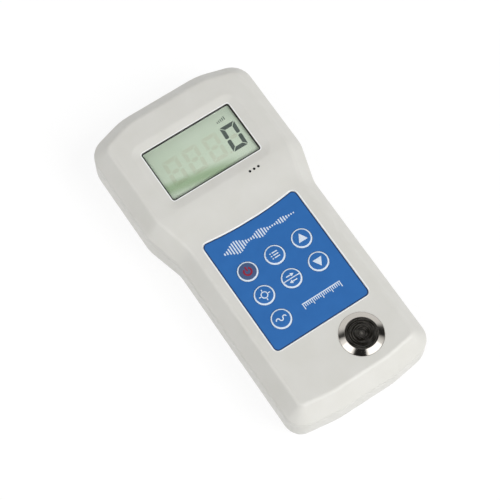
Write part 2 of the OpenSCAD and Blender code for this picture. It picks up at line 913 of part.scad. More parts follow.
module buzzer() color("#1c1c1e") {
    mouth_d = 2;
    mouth_depth = 0.8;
    y = y_sound - buzzer_offset;
    difference() {
        rod(buzzer_d, sound_x, y, z_board, z_board + buzzer_h);
        rod(mouth_d, sound_x, y, z_board + buzzer_h - mouth_depth, z_board + buzzer_h + past);
    }
}

module controller_chip() color("#222326") {
    body = 10;
    body_h = 1.6;
    lead_span = 12;
    lead_w = 0.5;
    lead_t = 0.4;
    lead_pitch = 1;
    lift = 0.15;
    box(-body / 2, body / 2, y_win - body / 2, y_win + body / 2, z_board + lift, z_board + body_h);
    for (quarter = [0 : 3])
        translate([0, y_win, z_board])
            rotate(90 * quarter)
                for (i = [-4 : 4])
                    let (y = i * lead_pitch - lead_w / 2)
                        box(body / 2 - lead_t, lead_span / 2, y, y + lead_w, 0, lead_t);
}

module clock_crystal() color(NICKEL) {
    w = 4.2;
    l = 6.4;
    h = 3;
    from_glass_end = 7;
    translate([-glass_w / 2 + from_glass_end, y_win, z_board])
        linear_extrude(h) {
            square([w, l], center = true);
            for (side = [-1, 1])
                translate([0, side * l / 2])
                    circle(d = w);
        }
}

module pulse_transformer() color("#3a3432") {
    core = 10;
    h = 7;
    slot = 1.2;
    flange = 2;
    y = y_win - below_window;
    difference() {
        box(-core / 2, core / 2, y - core / 2, y + core / 2, z_board_low - h, z_board_low);
        for (side = [-1, 1])
            box(
                side * core / 2 - slot, side * core / 2 + slot,
                y - core / 2 - past, y + core / 2 + past,
                z_board_low - h + flange, z_board_low - flange
            );
    }
}

module reservoir_capacitor() color("#2a3a63") {
    d = 6.3;
    h = 8;
    from_glass_end = 6;
    rod(d, glass_w / 2 - from_glass_end, y_win - below_window, z_board_low - h, z_board_low);
}

// Probe sockets

// A socket turned about its own axis: a chamfered flange on a barrel, bored from both ends
module probe_socket(i) color(NICKEL) {
    barrel_r = barrel_d / 2;
    flange_r = flange_d / 2;
    bore_r = socket_bore / 2;
    back_r = insulator_d / 2 + close_fit;
    translate([socket_x(i), y_top, socket_z])
        rotate([90, 0, 0])
            rotate_extrude()
                polygon([
                    [bore_r, 0],
                    [flange_r - flange_chamfer, 0],
                    [flange_r, flange_chamfer],
                    [flange_r, socket_flange_t],
                    [barrel_r, socket_flange_t],
                    [barrel_r, socket_flange_t + barrel_l],
                    [back_r, socket_flange_t + barrel_l],
                    [back_r, socket_depth],
                    [bore_r, socket_depth]
                ]);
}

module socket_insulator(i) color("#efece4") difference() {
    rod_y(insulator_d, socket_x(i), socket_z, y_barrel, y_bore);
    rod_y(pin_d + 2 * close_fit, socket_x(i), socket_z, y_barrel - past, y_bore + past);
}

module socket_pin(i) color("#d2b25e") {
    rod_y(pin_d, socket_x(i), socket_z, y_barrel - pin_tail, y_bore - pin_sink);
}

module socket_nuts() color(NICKEL) {
    for (i = [0, 1])
        difference() {
            rod_y(nut_w / cos(30), socket_x(i), socket_z, y_seat_back - nut_t, y_seat_back, 6);
            rod_y(barrel_d + 2 * close_fit, socket_x(i), socket_z, y_seat_back - nut_t - past, y_seat);
        }
}

module probe_lead(i) color("#7d2a25") {
    steps = 8;
    stub = 1;
    y0 = y_barrel - pin_tail;
    run = 4;
    climb = z_board_low - socket_z - stub;
    bend = [
        for (k = [0 : steps])
            let (a = 90 * k / steps)
                [socket_x(i), y0 - stub - run * sin(a), socket_z + climb * (1 - cos(a))]
    ];
    path = concat(
        [[socket_x(i), y0, socket_z]],
        bend,
        [[socket_x(i), y0 - stub - run, z_board_low]]
    );
    wire(path, lead_d, 8, [1, 0, 0]);
}

// Battery

module battery_cell(i) color("#b08d57") {
    body = cell_l - nub_h;
    y0 = y_bay + plate_t + (nub_up(i) ? coil_l : 0);
    y1 = y0 + cell_l;
    rod_y(cell_d, cell_x(i), z_cell, nub_up(i) ? y0 : y1 - body, nub_up(i) ? y0 + body : y1);
    rod_y(nub_d, cell_x(i), z_cell, y0 + (nub_up(i) ? past : 0), y1 - (nub_up(i) ? 0 : past));
}

// A conical coil between a plate and the flat end of its cell
module coil_contact(i) color(STEEL) {
    steps = 12 * coil_turns;
    rise_l = coil_l - coil_wire;
    path = [
        for (k = [0 : steps])
            let (
                t = k / steps,
                a = 360 * coil_turns * t,
                r = coil_r + (coil_tip_r - coil_r) * t,
                off = plate_t + coil_wire / 2 + rise_l * t
            )
                [cell_x(i) + r * cos(a), nub_up(i) ? y_bay + off : y_bay_top - off, z_cell + r * sin(a)]
    ];
    wire(path, coil_wire, 6, [0, 1, 0]);
}

module contact_plate(p) color(NICKEL) {
    y0 = p[2] == "low" ? y_bay : y_bay_top - plate_t;
    box(
        cell_x(p[0]) - plate_w / 2, cell_x(p[1]) + plate_w / 2,
        y0, y0 + plate_t, z_cell - plate_w / 2, z_cell + plate_w / 2
    );
    if (p[0] == p[1])
        box(cell_x(p[0]) - tab_w / 2, cell_x(p[0]) + tab_w / 2, y0, y0 + plate_t, z_cell, z_board_low);
}

// Screws

// A screw from below at p: its head under z, its shank above, with a crossed recess in the head
module screw(p, z, shank, reach, head, head_h) {
    slot_w = head / 6;
    slot_l = head * 0.62;
    slot_depth = head_h * 0.6;
    difference() {
        union() {
            rod(head, p.x, p.y, z - head_h, z);
            rod(shank, p.x, p.y, z - head_h / 2, z + reach);
        }
        for (a = [0, 90])
            translate([p.x, p.y, z - head_h])
                rotate(a)
                    cube([slot_l, slot_w, 2 * slot_depth], center = true);
    }
}

module case_screws() color(STEEL) {
    for (p = case_screw_at)
        screw(p, case_seat_z, case_shank, z_seam + case_reach - case_seat_z, case_head, case_head_h);
}

module board_screws() color(STEEL) {
    for (p = board_screw_at)
        screw(p, z_board_low, board_shank, board_t + board_reach, board_head_d, board_head_h);
}

front_shell();
back_shell();
battery_door();
display_window();
display_frame();
lcd_panel();
contact_strip(1);  // contact_strip_upper
contact_strip(-1);  // contact_strip_lower
main_board();
keypad_film();
test_block();
buzzer();
socket_nuts();
case_screws();
board_screws();
controller_chip();
clock_crystal();
pulse_transformer();
reservoir_capacitor();
for (k = KEYS) {
    key(k);
    key_switch(k);
}
for (i = [0 : 3]) {
    battery_cell(i);
    coil_contact(i);
}
for (i = [0 : 4])
    contact_plate(PLATES[i]);
for (i = [0, 1]) {
    probe_socket(i);
    socket_insulator(i);
    socket_pin(i);
    probe_lead(i);
}
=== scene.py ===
"""Looks of a handheld ultrasonic thickness gauge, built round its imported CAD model."""

import logging
import math
from dataclasses import dataclass, replace
from enum import Enum
from typing import Any, Iterable, Optional

import bmesh
import bpy
from mathutils import Matrix, Vector
from mathutils.bvhtree import BVHTree


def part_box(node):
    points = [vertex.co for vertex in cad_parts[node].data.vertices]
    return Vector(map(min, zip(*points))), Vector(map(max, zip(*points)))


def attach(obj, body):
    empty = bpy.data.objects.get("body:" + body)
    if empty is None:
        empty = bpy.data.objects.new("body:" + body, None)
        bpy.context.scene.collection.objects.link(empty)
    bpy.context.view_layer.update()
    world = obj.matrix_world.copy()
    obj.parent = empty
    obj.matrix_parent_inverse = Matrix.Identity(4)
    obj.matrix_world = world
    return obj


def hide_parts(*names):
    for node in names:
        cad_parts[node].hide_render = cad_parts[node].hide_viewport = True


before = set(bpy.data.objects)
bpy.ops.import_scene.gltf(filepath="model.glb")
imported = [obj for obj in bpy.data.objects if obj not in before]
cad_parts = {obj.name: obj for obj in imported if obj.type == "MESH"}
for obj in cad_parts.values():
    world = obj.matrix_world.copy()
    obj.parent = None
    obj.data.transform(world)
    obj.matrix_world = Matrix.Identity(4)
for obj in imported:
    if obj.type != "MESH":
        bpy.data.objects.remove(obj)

MM = 0.001
LOG = logging.getLogger("gauge")

# Middle range of a noise texture's values, in which most of them lie
NOISE_LOW = 0.3
NOISE_HIGH = 0.7
# Steps of finer noise in a grain, in patches and tool marks, and at an uneven edge
GRAIN_DETAIL = 2.0
PATCH_DETAIL = 3.0
EDGE_DETAIL = 4.0
# Distance at which points of a mesh are one, in metres
MERGE_M = 1e-6
# Angle between faces that still counts as flat, in degrees
FLAT_DEGREES = 0.1
# Least angle of a sharp edge on a strip, in degrees
STRIP_DEGREES = 30.0
# Depth under a node's highest point within which a face is its top face
FACE_DEPTH_MM = 0.01
# Height from which a surface is looked down on, in metres
LOOK_DOWN_M = 1.0
WHITE = (1.0, 1.0, 1.0, 1.0)


def linear(hex_code: str) -> tuple[float, float, float, float]:
    """Turns an sRGB hex colour into a linear one.

    Args:
        hex_code: A colour such as "#3f73b5".

    Returns:
        Red, green, blue and a full alpha, each from 0 to 1.
    """
    channels = [int(hex_code[i:i + 2], 16) / 255 for i in (1, 3, 5)]
    lit = [c / 12.92 if c <= 0.04045 else ((c + 0.055) / 1.055) ** 2.4 for c in channels]
    return (lit[0], lit[1], lit[2], 1.0)


def add_node(
    tree: bpy.types.NodeTree, kind: str, inputs: Optional[dict[Any, Any]] = None, **settings: Any
) -> bpy.types.Node:
    """Adds a node with its settings, and fills or links its inputs.

    Args:
        tree: The node tree that gets the node.
        kind: The node's type name.
        inputs: Values or output sockets, by the name or number of the input.
        settings: The node's own properties.

    Returns:
        The new node.
    """
    node = tree.nodes.new(kind)
    for name, value in settings.items():
        setattr(node, name, value)
    for key, value in (inputs or {}).items():
        if isinstance(value, bpy.types.NodeSocket):
            tree.links.new(value, node.inputs[key])
        else:
            node.inputs[key].default_value = value
    return node


@dataclass(frozen=True)
class Finish:
    """A material with soft colour patches and a fine surface grain.

    Attributes:
        name: The real material and how its surface was made.
        colour: Main colour, sRGB hex.
        shade: Second colour of the pattern, sRGB hex.
        patch_mm: Size of the colour patches.
        grain_mm: Size of the surface grain.
        relief_mm: Height of the surface grain.
        roughness: Middle roughness.
        spread: How far the grain moves the roughness either way.
        metallic: 1 for a metal.
        ior: Index of refraction.
        coat: Weight of a clear coat.
    """

    name: str
    colour: str
    shade: str
    patch_mm: float = 6.0
    grain_mm: float = 0.4
    relief_mm: float = 0.004
    roughness: float = 0.5
    spread: float = 0.05
    metallic: float = 0.0
    ior: float = 1.5
    coat: float = 0.0

    def pattern(self, tree: bpy.types.NodeTree, coords: bpy.types.NodeSocket) -> bpy.types.NodeSocket:
        """Gives the share of the second colour: soft patches.

        Args:
            tree: The material's node tree.
            coords: Object coordinates.

        Returns:
            A socket from 0 to 1.
        """
        scale = 1 / (self.patch_mm * MM)
        noise = add_node(
            tree, "ShaderNodeTexNoise", {"Vector": coords, "Scale": scale, "Detail": PATCH_DETAIL}
        )
        return add_node(
            tree,
            "ShaderNodeMapRange",
            {"Value": noise.outputs["Fac"], "From Min": NOISE_LOW, "From Max": NOISE_HIGH},
        ).outputs["Result"]

    def grain(self, tree: bpy.types.NodeTree, coords: bpy.types.NodeSocket) -> bpy.types.NodeSocket:
        """Gives the height of the surface grain.

        Args:
            tree: The material's node tree.
            coords: Object coordinates.

        Returns:
            A socket from 0 to 1.
        """
        scale = 1 / (self.grain_mm * MM)
        return add_node(
            tree, "ShaderNodeTexNoise", {"Vector": coords, "Scale": scale, "Detail": GRAIN_DETAIL}
        ).outputs["Fac"]

    def sockets(self) -> dict[str, Any]:
        """Gives the shader's constant values."""
        return {"Metallic": self.metallic, "IOR": self.ior, "Coat Weight": self.coat}

    def surface(self, tree: bpy.types.NodeTree, shader: bpy.types.NodeSocket) -> bpy.types.NodeSocket:
        """Gives what the surface shows: the shader itself."""
        return shader

    def material(self) -> bpy.types.Material:
        """Builds the material, once.

        Returns:
            The material with this finish's name.
        """
        made = bpy.data.materials.get(self.name)
        if made is not None:
            return made
        made = bpy.data.materials.new(self.name)
        made.use_nodes = True
        tree = made.node_tree
        tree.nodes.clear()
        coords = add_node(tree, "ShaderNodeTexCoord").outputs["Object"]
        height = self.grain(tree, coords)
        smooth, dull = self.roughness - self.spread, self.roughness + self.spread
        mix = add_node(
            tree,
            "ShaderNodeMix",
            {0: self.pattern(tree, coords), 6: linear(self.colour), 7: linear(self.shade)},
            data_type="RGBA",
        )
        rough = add_node(tree, "ShaderNodeMapRange", {"Value": height, "To Min": smooth, "To Max": dull})
        bump = add_node(tree, "ShaderNodeBump", {"Height": height, "Distance": self.relief_mm * MM})
        shader = add_node(
            tree,
            "ShaderNodeBsdfPrincipled",
            {
                "Base Color": mix.outputs[2],
                "Roughness": rough.outputs["Result"],
                "Normal": bump.outputs["Normal"],
                **self.sockets(),
            },
        )
        add_node(tree, "ShaderNodeOutputMaterial", {"Surface": self.surface(tree, shader.outputs["BSDF"])})
        return made


@dataclass(frozen=True)
class ClearSheet(Finish):
    """A clear sheet that light passes through."""

    def sockets(self) -> dict[str, Any]:
        """Gives the shader's constant values, with full transmission."""
        return {**super().sockets(), "Transmission Weight": 1.0}

    def surface(self, tree: bpy.types.NodeTree, shader: bpy.types.NodeSocket) -> bpy.types.NodeSocket:
        """Lets light from the lamps and the room through to what lies behind.

        Args:
            tree: The material's node tree.
            shader: The clear shader.

        Returns:
            A socket that is transparent to rays from lamps and to diffuse rays.
        """
        path = add_node(tree, "ShaderNodeLightPath")
        passing = add_node(
            tree,
            "ShaderNodeMath",
            {0: path.outputs["Is Shadow Ray"], 1: path.outputs["Is Diffuse Ray"]},
            operation="MAXIMUM",
        )
        clear = add_node(tree, "ShaderNodeBsdfTransparent")
        return add_node(
            tree,
            "ShaderNodeMixShader",
            {0: passing.outputs["Value"], 1: shader, 2: clear.outputs["BSDF"]},
        ).outputs["Shader"]


@dataclass(frozen=True)
class DisplaySheet(Finish):
    """Liquid crystal on a reflector, greener on the left, with a painted shadow of the frame: a soft greener
    band near its lower edge.

    Attributes:
        mid_y_mm: Middle of the display, lengthways.
        shadow_drop_mm: Middle of the painted shadow band, below the display's middle.
        slope: How fast the shadow band falls to the right.
        shadow_core_mm: Half height of the shadow band's full colour.
        shadow_fade_mm: Half height at which the shadow band ends.
        shadow_taper_mm: Places, sideways, where the shadow band starts to fade and where it ends.
        left_mm: Places, sideways, where the left tint is full and where it ends.
        left_share: Share of the second colour at the left end.
    """

    mid_y_mm: float = 0.0
    shadow_drop_mm: float = 8.7
    slope: float = 0.18
    shadow_core_mm: float = 0.5
    shadow_fade_mm: float = 4.2
    shadow_taper_mm: tuple[float, float] = (0.0, 15.0)
    left_mm: tuple[float, float] = (-17.7, 2.0)
    left_share: float = 0.14

    def fading(
        self, tree: bpy.types.NodeTree, value: bpy.types.NodeSocket, ends: tuple[float, float], full: float
    ) -> bpy.types.NodeSocket:
        """Fades a share out between two places.

        Args:
            tree: The material's node tree.
            value: The place along the fade, in metres.
            ends: Where the fade starts and ends, in mm.
            full: The share before the fade.

        Returns:
            A socket from 0 to full.
        """
        start, stop = ends
        return add_node(
            tree,
            "ShaderNodeMapRange",
            {"Value": value, "From Min": start * MM, "From Max": stop * MM, "To Min": full, "To Max": 0.0},
            interpolation_type="SMOOTHSTEP",
        ).outputs["Result"]

    def pattern(self, tree: bpy.types.NodeTree, coords: bpy.types.NodeSocket) -> bpy.types.NodeSocket:
        """Gives the share of the greener colour: the band of painted frame shadow, with an uneven edge, and
        the left tint.

        Args:
            tree: The material's node tree.
            coords: Object coordinates.

        Returns:
            A socket from 0 to 1.
        """
        scale = 1 / (self.patch_mm * MM)
        noise = add_node(
            tree, "ShaderNodeTexNoise", {"Vector": coords, "Scale": scale, "Detail": EDGE_DETAIL}
        )
        across = add_node(tree, "ShaderNodeSeparateXYZ", {"Vector": coords}).outputs["X"]
        level = add_node(
            tree, "ShaderNodeVectorMath", {0: coords, 1: (self.slope, 1.0, 0.0)}, operation="DOT_PRODUCT"
        )
        offset = add_node(
            tree,
            "ShaderNodeMath",
            {0: level.outputs["Value"], 1: (self.mid_y_mm - self.shadow_drop_mm) * MM},
            operation="SUBTRACT",
        )
        apart = add_node(tree, "ShaderNodeMath", {0: offset.outputs["Value"]}, operation="ABSOLUTE")
        uneven = add_node(
            tree,
            "ShaderNodeMath",
            {0: noise.outputs["Fac"], 1: self.shadow_core_mm * MM, 2: apart.outputs["Value"]},
            operation="MULTIPLY_ADD",
        )
        # Painted shadow of the frame's lower edge: a soft band that fades out to the right
        band = self.fading(tree, uneven.outputs["Value"], (self.shadow_core_mm, self.shadow_fade_mm), 1.0)
        taper = self.fading(tree, across, self.shadow_taper_mm, 1.0)
        left = self.fading(tree, across, self.left_mm, self.left_share)
        frame_shadow = add_node(tree, "ShaderNodeMath", {0: band, 1: taper}, operation="MULTIPLY")
        return add_node(
            tree, "ShaderNodeMath", {0: frame_shadow.outputs["Value"], 1: left}, operation="MAXIMUM"
        ).outputs["Value"]


@dataclass(frozen=True)
class TurnedFace(Finish):
    """Metal turned on a lathe, with broken tool marks round an upright axis. The marks are real relief; their
    near-black colour paints the face's dark reflection, and a paler centre is a painted highlight.

    Attributes:
        x_mm: Axis, sideways.
        y_mm: Axis, lengthways.
        face_r_mm: Radius of the turned face inside the polished bevel.
        arcs: How often a tool mark breaks off round the face.
        centre_mm: Radius inside which the marks run out to a dull centre, paler there as a painted highlight.
        highlight_share: Share of the second colour that is left at the centre, which makes the painted
            highlight.
        marks_from: Height of the marks where the second colour starts.
        marks_to: Height of the marks where it is full.
    """

    x_mm: float = 0.0
    y_mm: float = 0.0
    face_r_mm: float = 5.8
    arcs: float = 0.9
    centre_mm: float = 1.5
    highlight_share: float = 0.25
    marks_from: float = 0.36
    marks_to: float = 0.58

    def centred(self, tree: bpy.types.NodeTree, coords: bpy.types.NodeSocket) -> bpy.types.NodeSocket:
        """Gives the place seen from the axis, in metres.

        Args:
            tree: The material's node tree.
            coords: Object coordinates.

        Returns:
            A vector socket without height.
        """
        shift = (-self.x_mm * MM, -self.y_mm * MM, 0.0)
        flat = (1.0, 1.0, 0.0)
        return add_node(
            tree, "ShaderNodeMapping", {"Vector": coords, "Location": shift, "Scale": flat}
        ).outputs["Vector"]

    def toward_centre(
        self, tree: bpy.types.NodeTree, radius: bpy.types.NodeSocket, outside: float, centre: float
    ) -> bpy.types.NodeSocket:
        """Changes a value evenly from where the tool marks run out to the centre.

        Args:
            tree: The material's node tree.
            radius: Distance from the axis, in metres.
            outside: The value where the marks run out, and beyond.
            centre: The value at the centre.

        Returns:
            A socket with the value.
        """
        return add_node(
            tree,
            "ShaderNodeMapRange",
            {"Value": radius, "From Max": self.centre_mm * MM, "To Min": centre, "To Max": outside},
        ).outputs["Result"]

    def pattern(self, tree: bpy.types.NodeTree, coords: bpy.types.NodeSocket) -> bpy.types.NodeSocket:
        """Gives the share of the second colour: the tool marks on the turned face, as painted dark
        reflection, thinned to a painted highlight at the centre.

        Args:
            tree: The material's node tree.
            coords: Object coordinates.

        Returns:
            A socket from 0 to 1, and 0 on the bevel.
        """
        marks = add_node(
            tree,
            "ShaderNodeMapRange",
            {"Value": self.grain(tree, coords), "From Min": self.marks_from, "From Max": self.marks_to},
        ).outputs["Result"]
        radius = add_node(
            tree, "ShaderNodeVectorMath", {0: self.centred(tree, coords)}, operation="LENGTH"
        ).outputs["Value"]
        # Less of the dark colour towards the centre: a painted highlight
        left = self.toward_centre(tree, radius, 1.0, self.highlight_share)
        return add_node(tree, "ShaderNodeMath", {0: marks, 1: left}, operation="MULTIPLY").outputs["Value"]

    def grain(self, tree: bpy.types.NodeTree, coords: bpy.types.NodeSocket) -> bpy.types.NodeSocket:
        """Gives the height of the tool marks: fine across the radius, long round the axis.

        Args:
            tree: The material's node tree.
            coords: Object coordinates.

        Returns:
            A socket from 0 to 1, and 0 on the bevel.
        """
        place = self.centred(tree, coords)
        radius = add_node(tree, "ShaderNodeVectorMath", {0: place}, operation="LENGTH").outputs["Value"]
        reach = add_node(tree, "ShaderNodeMath", {0: radius, 1: self.centre_mm * MM}, operation="MAXIMUM")
        share = add_node(tree, "ShaderNodeMath", {0: 1.0, 1: reach.outputs["Value"]}, operation="DIVIDE")
        way = add_node(
            tree, "ShaderNodeVectorMath", {0: place, "Scale": share.outputs["Value"]}, operation="SCALE"
        )
        round_it = add_node(tree, "ShaderNodeSeparateXYZ", {"Vector": way.outputs["Vector"]})
        often = 1 / (self.grain_mm * MM * self.arcs)
        turns = add_node(tree, "ShaderNodeMath", {0: radius, 1: often}, operation="MULTIPLY")
        streaks = add_node(
            tree,
            "ShaderNodeCombineXYZ",
            {"X": turns.outputs["Value"], "Y": round_it.outputs["X"], "Z": round_it.outputs["Y"]},
        )
        noise = add_node(
            tree,
            "ShaderNodeTexNoise",
            {"Vector": streaks.outputs["Vector"], "Scale": self.arcs, "Detail": PATCH_DETAIL},
        )
        face = add_node(
            tree, "ShaderNodeMath", {0: radius, 1: self.face_r_mm * MM}, operation="LESS_THAN"
        ).outputs["Value"]
        dull = self.toward_centre(tree, radius, 0.0, 1.0)
        height = add_node(tree, "ShaderNodeMath", {0: noise.outputs["Fac"], 1: dull}, operation="MAXIMUM")
        return add_node(
            tree, "ShaderNodeMath", {0: height.outputs["Value"], 1: face}, operation="MULTIPLY"
        ).outputs["Value"]


@dataclass(frozen=True)
class PrintedSleeve(Finish):
    """A printed sleeve with a band of the second colour at one end.

    Attributes:
        band_y_mm: Where the band starts.
        upward: Whether the band lies above that place.
    """

    band_y_mm: float = 0.0
    upward: bool = True

    def pattern(self, tree: bpy.types.NodeTree, coords: bpy.types.NodeSocket) -> bpy.types.NodeSocket:
        """Gives the share of the second colour: a band with a crisp edge.

        Args:
            tree: The material's node tree.
            coords: Object coordinates.

        Returns:
            A socket from 0 to 1.
        """
        along = add_node(tree, "ShaderNodeSeparateXYZ", {"Vector": coords})
        return add_node(
            tree,
            "ShaderNodeMath",
            {0: along.outputs["Y"], 1: self.band_y_mm * MM},
            operation="GREATER_THAN" if self.upward else "LESS_THAN",
        ).outputs["Value"]


# Moulded ABS: a pale warm grey with a fine spark-eroded grain that takes the gloss off
CASE_ABS = Finish("moulded_abs_light_grey", "#d3d2cd", "#cfcec8", 9.0, 0.35, 0.006, 0.46, 0.06, ior=1.53)
# Painted highlight: a nearly white line of the case's ABS where the edges of the film's and the window's
# places catch the light
EDGE_HIGHLIGHT = Finish("abs_painted_edge_highlight", "#f3f4f3", "#eceeed", 3.0, 0.3, 0.002, 0.4, 0.05, ior=1.53)
# Black gauze just inside the sound holes, near-black so that it also paints the shade deep in each hole
GAUZE_AND_SHADE = Finish("black_gauze_and_hole_shade", "#0b0b0c", "#141416", 0.3, 0.15, 0.01, 0.85, 0.05)
# Moulded black ABS: a smooth dark rim with a soft shine
BLACK_ABS = Finish("moulded_abs_black", "#0e0e0f", "#141415", 3.0, 0.3, 0.003, 0.45, 0.06, ior=1.53)
# Polished acrylic: clear, with the faintest smear in its shine
CLEAR_ACRYLIC = ClearSheet(
    "polished_acrylic_clear", "#fbfdfb", "#f6faf6", 8.0, 5.0, 0.0, 0.02, 0.01, ior=1.49
)
# Liquid crystal on a reflector: a soft silvery green, whose greener second colour gives the left tint and a
# painted shadow of the frame near the lower edge
CRYSTAL = DisplaySheet("liquid_crystal_silver_green", "#cbd7c6", "#9bb191", 2.2, 0.3, 0.001, 0.45, 0.05)
# A resting segment: barely browner than the liquid crystal round it, with the same left tint and painted
# frame shadow
RESTING = DisplaySheet("liquid_crystal_resting", "#c6cdbb", "#95a889", 2.2, 0.3, 0.001, 0.45, 0.05)
# A driven segment: dark blue-grey
DRIVEN = Finish("liquid_crystal_driven", "#4d5653", "#545d59", 1.5, 0.3, 0.0, 0.5, 0.04)
# Reverse-printed polyester: even blue under a fine matt skin
BLUE_FILM = Finish("printed_polyester_blue", "#2868ad", "#2564a8", 5.0, 0.25, 0.003, 0.42, 0.06, ior=1.57)
# The same film over a grey print: the dull slate of the power key
SLATE_FILM = Finish("printed_polyester_slate", "#43587f", "#3f547b", 5.0, 0.25, 0.003, 0.42, 0.06, ior=1.57)
# Screen ink: a thin white layer, slightly uneven in cover
WHITE_INK = Finish("screen_ink_white", "#d6e0ec", "#c9d6e6", 0.8, 0.2, 0.002, 0.5, 0.05)
# Screen ink: the red of the power mark
RED_INK = Finish("screen_ink_red", "#8f1f38", "#841a33", 0.8, 0.2, 0.002, 0.5, 0.05)
# Painted shadow: a navy line inside the film's edge, where the recess wall shades the film
FILM_EDGE_SHADOW = Finish("painted_shadow_navy", "#153a6c", "#123463", 0.8, 0.2, 0.002, 0.5, 0.05)
# Turned steel: a bright polished bevel round a face with tool marks, drawn coarser than real; the marks'
# near-black colour paints the face's dark reflection, and its paler centre is a painted highlight
TEST_STEEL = TurnedFace("turned_steel_polished", "#dcd7cf", "#423e37", 3.0, 0.4, 0.03, 0.36, 0.26, 1.0)
# Nickel plate: a warm bright metal
NICKEL = Finish("plated_nickel_bright", "#c9c5bb", "#bdb9ae", 2.0, 0.3, 0.001, 0.2, 0.05, 1.0)
# Zinc plate: a cooler, duller metal than nickel
ZINC = Finish("plated_zinc_steel", "#b9bcc0", "#a9adb3", 1.5, 0.25, 0.002, 0.32, 0.08, 1.0)
# Drawn spring wire: bright steel with fine drawing marks
SPRING = Finish("drawn_spring_steel", "#b4b5b6", "#9c9ea0", 1.0, 0.2, 0.002, 0.28, 0.08, 1.0)
# Gold flash on a contact
GOLD = Finish("plated_gold_contact", "#d8b25c", "#c9a24c", 0.8, 0.2, 0.001, 0.22, 0.05, 1.0)
# Machined PTFE: waxy white
PTFE = Finish("machined_ptfe_white", "#ece9e1", "#e2ded4", 1.0, 0.2, 0.002, 0.5, 0.06, ior=1.36)
# Extruded silicone sleeve on a lead: dull red
LEAD_SLEEVE = Finish("extruded_silicone_red", "#7f2b25", "#742620", 1.5, 0.2, 0.003, 0.55, 0.06)
# Silicone rubber strip: dusty pink with dark carbon layers
STRIP_RUBBER = Finish("silicone_rubber_pink", "#d08b98", "#4a4446", 0.4, 0.2, 0.004, 0.7, 0.08)
# Glass-fibre laminate under a green solder mask
LAMINATE = Finish("solder_mask_green", "#1d6a45", "#2a7d53", 1.2, 0.3, 0.01, 0.4, 0.1, ior=1.55, coat=0.2)
# Moulded epoxy of chips, switches and the sound transducer
EPOXY = Finish("moulded_epoxy_black", "#242528", "#2c2d30", 1.5, 0.2, 0.004, 0.6, 0.08)
# Sintered ferrite: dark, grainy and dull
FERRITE = Finish("sintered_ferrite_grey", "#3a3533", "#443f3c", 0.6, 0.2, 0.01, 0.65, 0.08)
# Shrunk vinyl sleeve of a capacitor
SHRINK_SLEEVE = Finish("shrunk_vinyl_blue", "#2b3a63", "#27345a", 2.0, 0.4, 0.002, 0.35, 0.06)
# Printed cell sleeves: dark body, copper end beside the nub
SLEEVE_UP = PrintedSleeve("printed_sleeve_nub_up", "#26282b", "#b87a43", 4.0, 0.5, 0.001, 0.3, 0.05, 0.6)
SLEEVE_DOWN = replace(SLEEVE_UP, name="printed_sleeve_nub_down", upward=False)


def shade_by_angle(bm: bmesh.types.BMesh, degrees: float) -> None:
    """Shades a bmesh smooth and keeps its edges above an angle sharp.

    Args:
        bm: The bmesh.
        degrees: The least angle of a sharp edge.
    """
    for face in bm.faces:
        face.smooth = True
    for edge in bm.edges:
        edge.smooth = edge.calc_face_angle(0.0) < math.radians(degrees)


def add_piece(
    name: str, bm: bmesh.types.BMesh, finish: Finish, body: str, replaced: Iterable[str] = ()
) -> bpy.types.Object:
    """Turns a bmesh into a piece that wears a finish and rides on a body.

    Args:
        name: The piece's name.
        bm: Its shape, in place and in metres. It is freed.
        finish: Its finish.
        body: The CAD body that it rides on.
        replaced: CAD nodes that it stands for.

    Returns:
        The new object.
    """
    mesh = bpy.data.meshes.new(name)
    bm.to_mesh(mesh)
    bm.free()
    piece = bpy.data.objects.new(name, mesh)
    bpy.context.scene.collection.objects.link(piece)
    mesh.materials.append(finish.material())
    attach(piece, body)
    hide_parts(*replaced)
    LOG.info("piece %s on %s, %d faces", name, body, len(mesh.polygons))
    return piece


def dress(node: str, finish: Finish) -> None:
    """Gives a CAD node its finish.

    Args:
        node: The node's name.
        finish: Its finish.
    """
    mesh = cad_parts[node].data
    mesh.materials.clear()
    mesh.materials.append(finish.material())
    LOG.info("node %s in %s", node, finish.name)


def smooth_copy(node: str, degrees: float) -> bmesh.types.BMesh:
    """Copies a CAD node's mesh, joins its triangles and shades it by angle.

    Args:
        node: The node's name.
        degrees: The least angle of a sharp edge.

    Returns:
        The joined copy.
    """
    bm = bmesh.new()
    bm.from_mesh(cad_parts[node].data)
    for layer in list(bm.loops.layers.float_vector.values()):
        bm.loops.layers.float_vector.remove(layer)
    bmesh.ops.remove_doubles(bm, verts=bm.verts, dist=MERGE_M)
    bmesh.ops.dissolve_limit(bm, angle_limit=math.radians(FLAT_DEGREES), verts=bm.verts, edges=bm.edges)
    shade_by_angle(bm, degrees)
    return bm


def shell_tree() -> BVHTree:
    """Gives the front shell's surface as a tree to look heights up in."""
    bm = bmesh.new()
    bm.from_mesh(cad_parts["front_shell"].data)
    tree = BVHTree.FromBMesh(bm)
    bm.free()
    return tree


def height_at(tree: BVHTree, x: float, y: float) -> float:
    """Finds the height of a surface.

    Args:
        tree: The surface.
        x: Place, sideways, in metres.
        y: Place, lengthways, in metres.

    Returns:
        Height of its highest point there, in metres.
    """
    return tree.ray_cast(Vector((x, y, LOOK_DOWN_M)), Vector((0.0, 0.0, -1.0)))[0].z


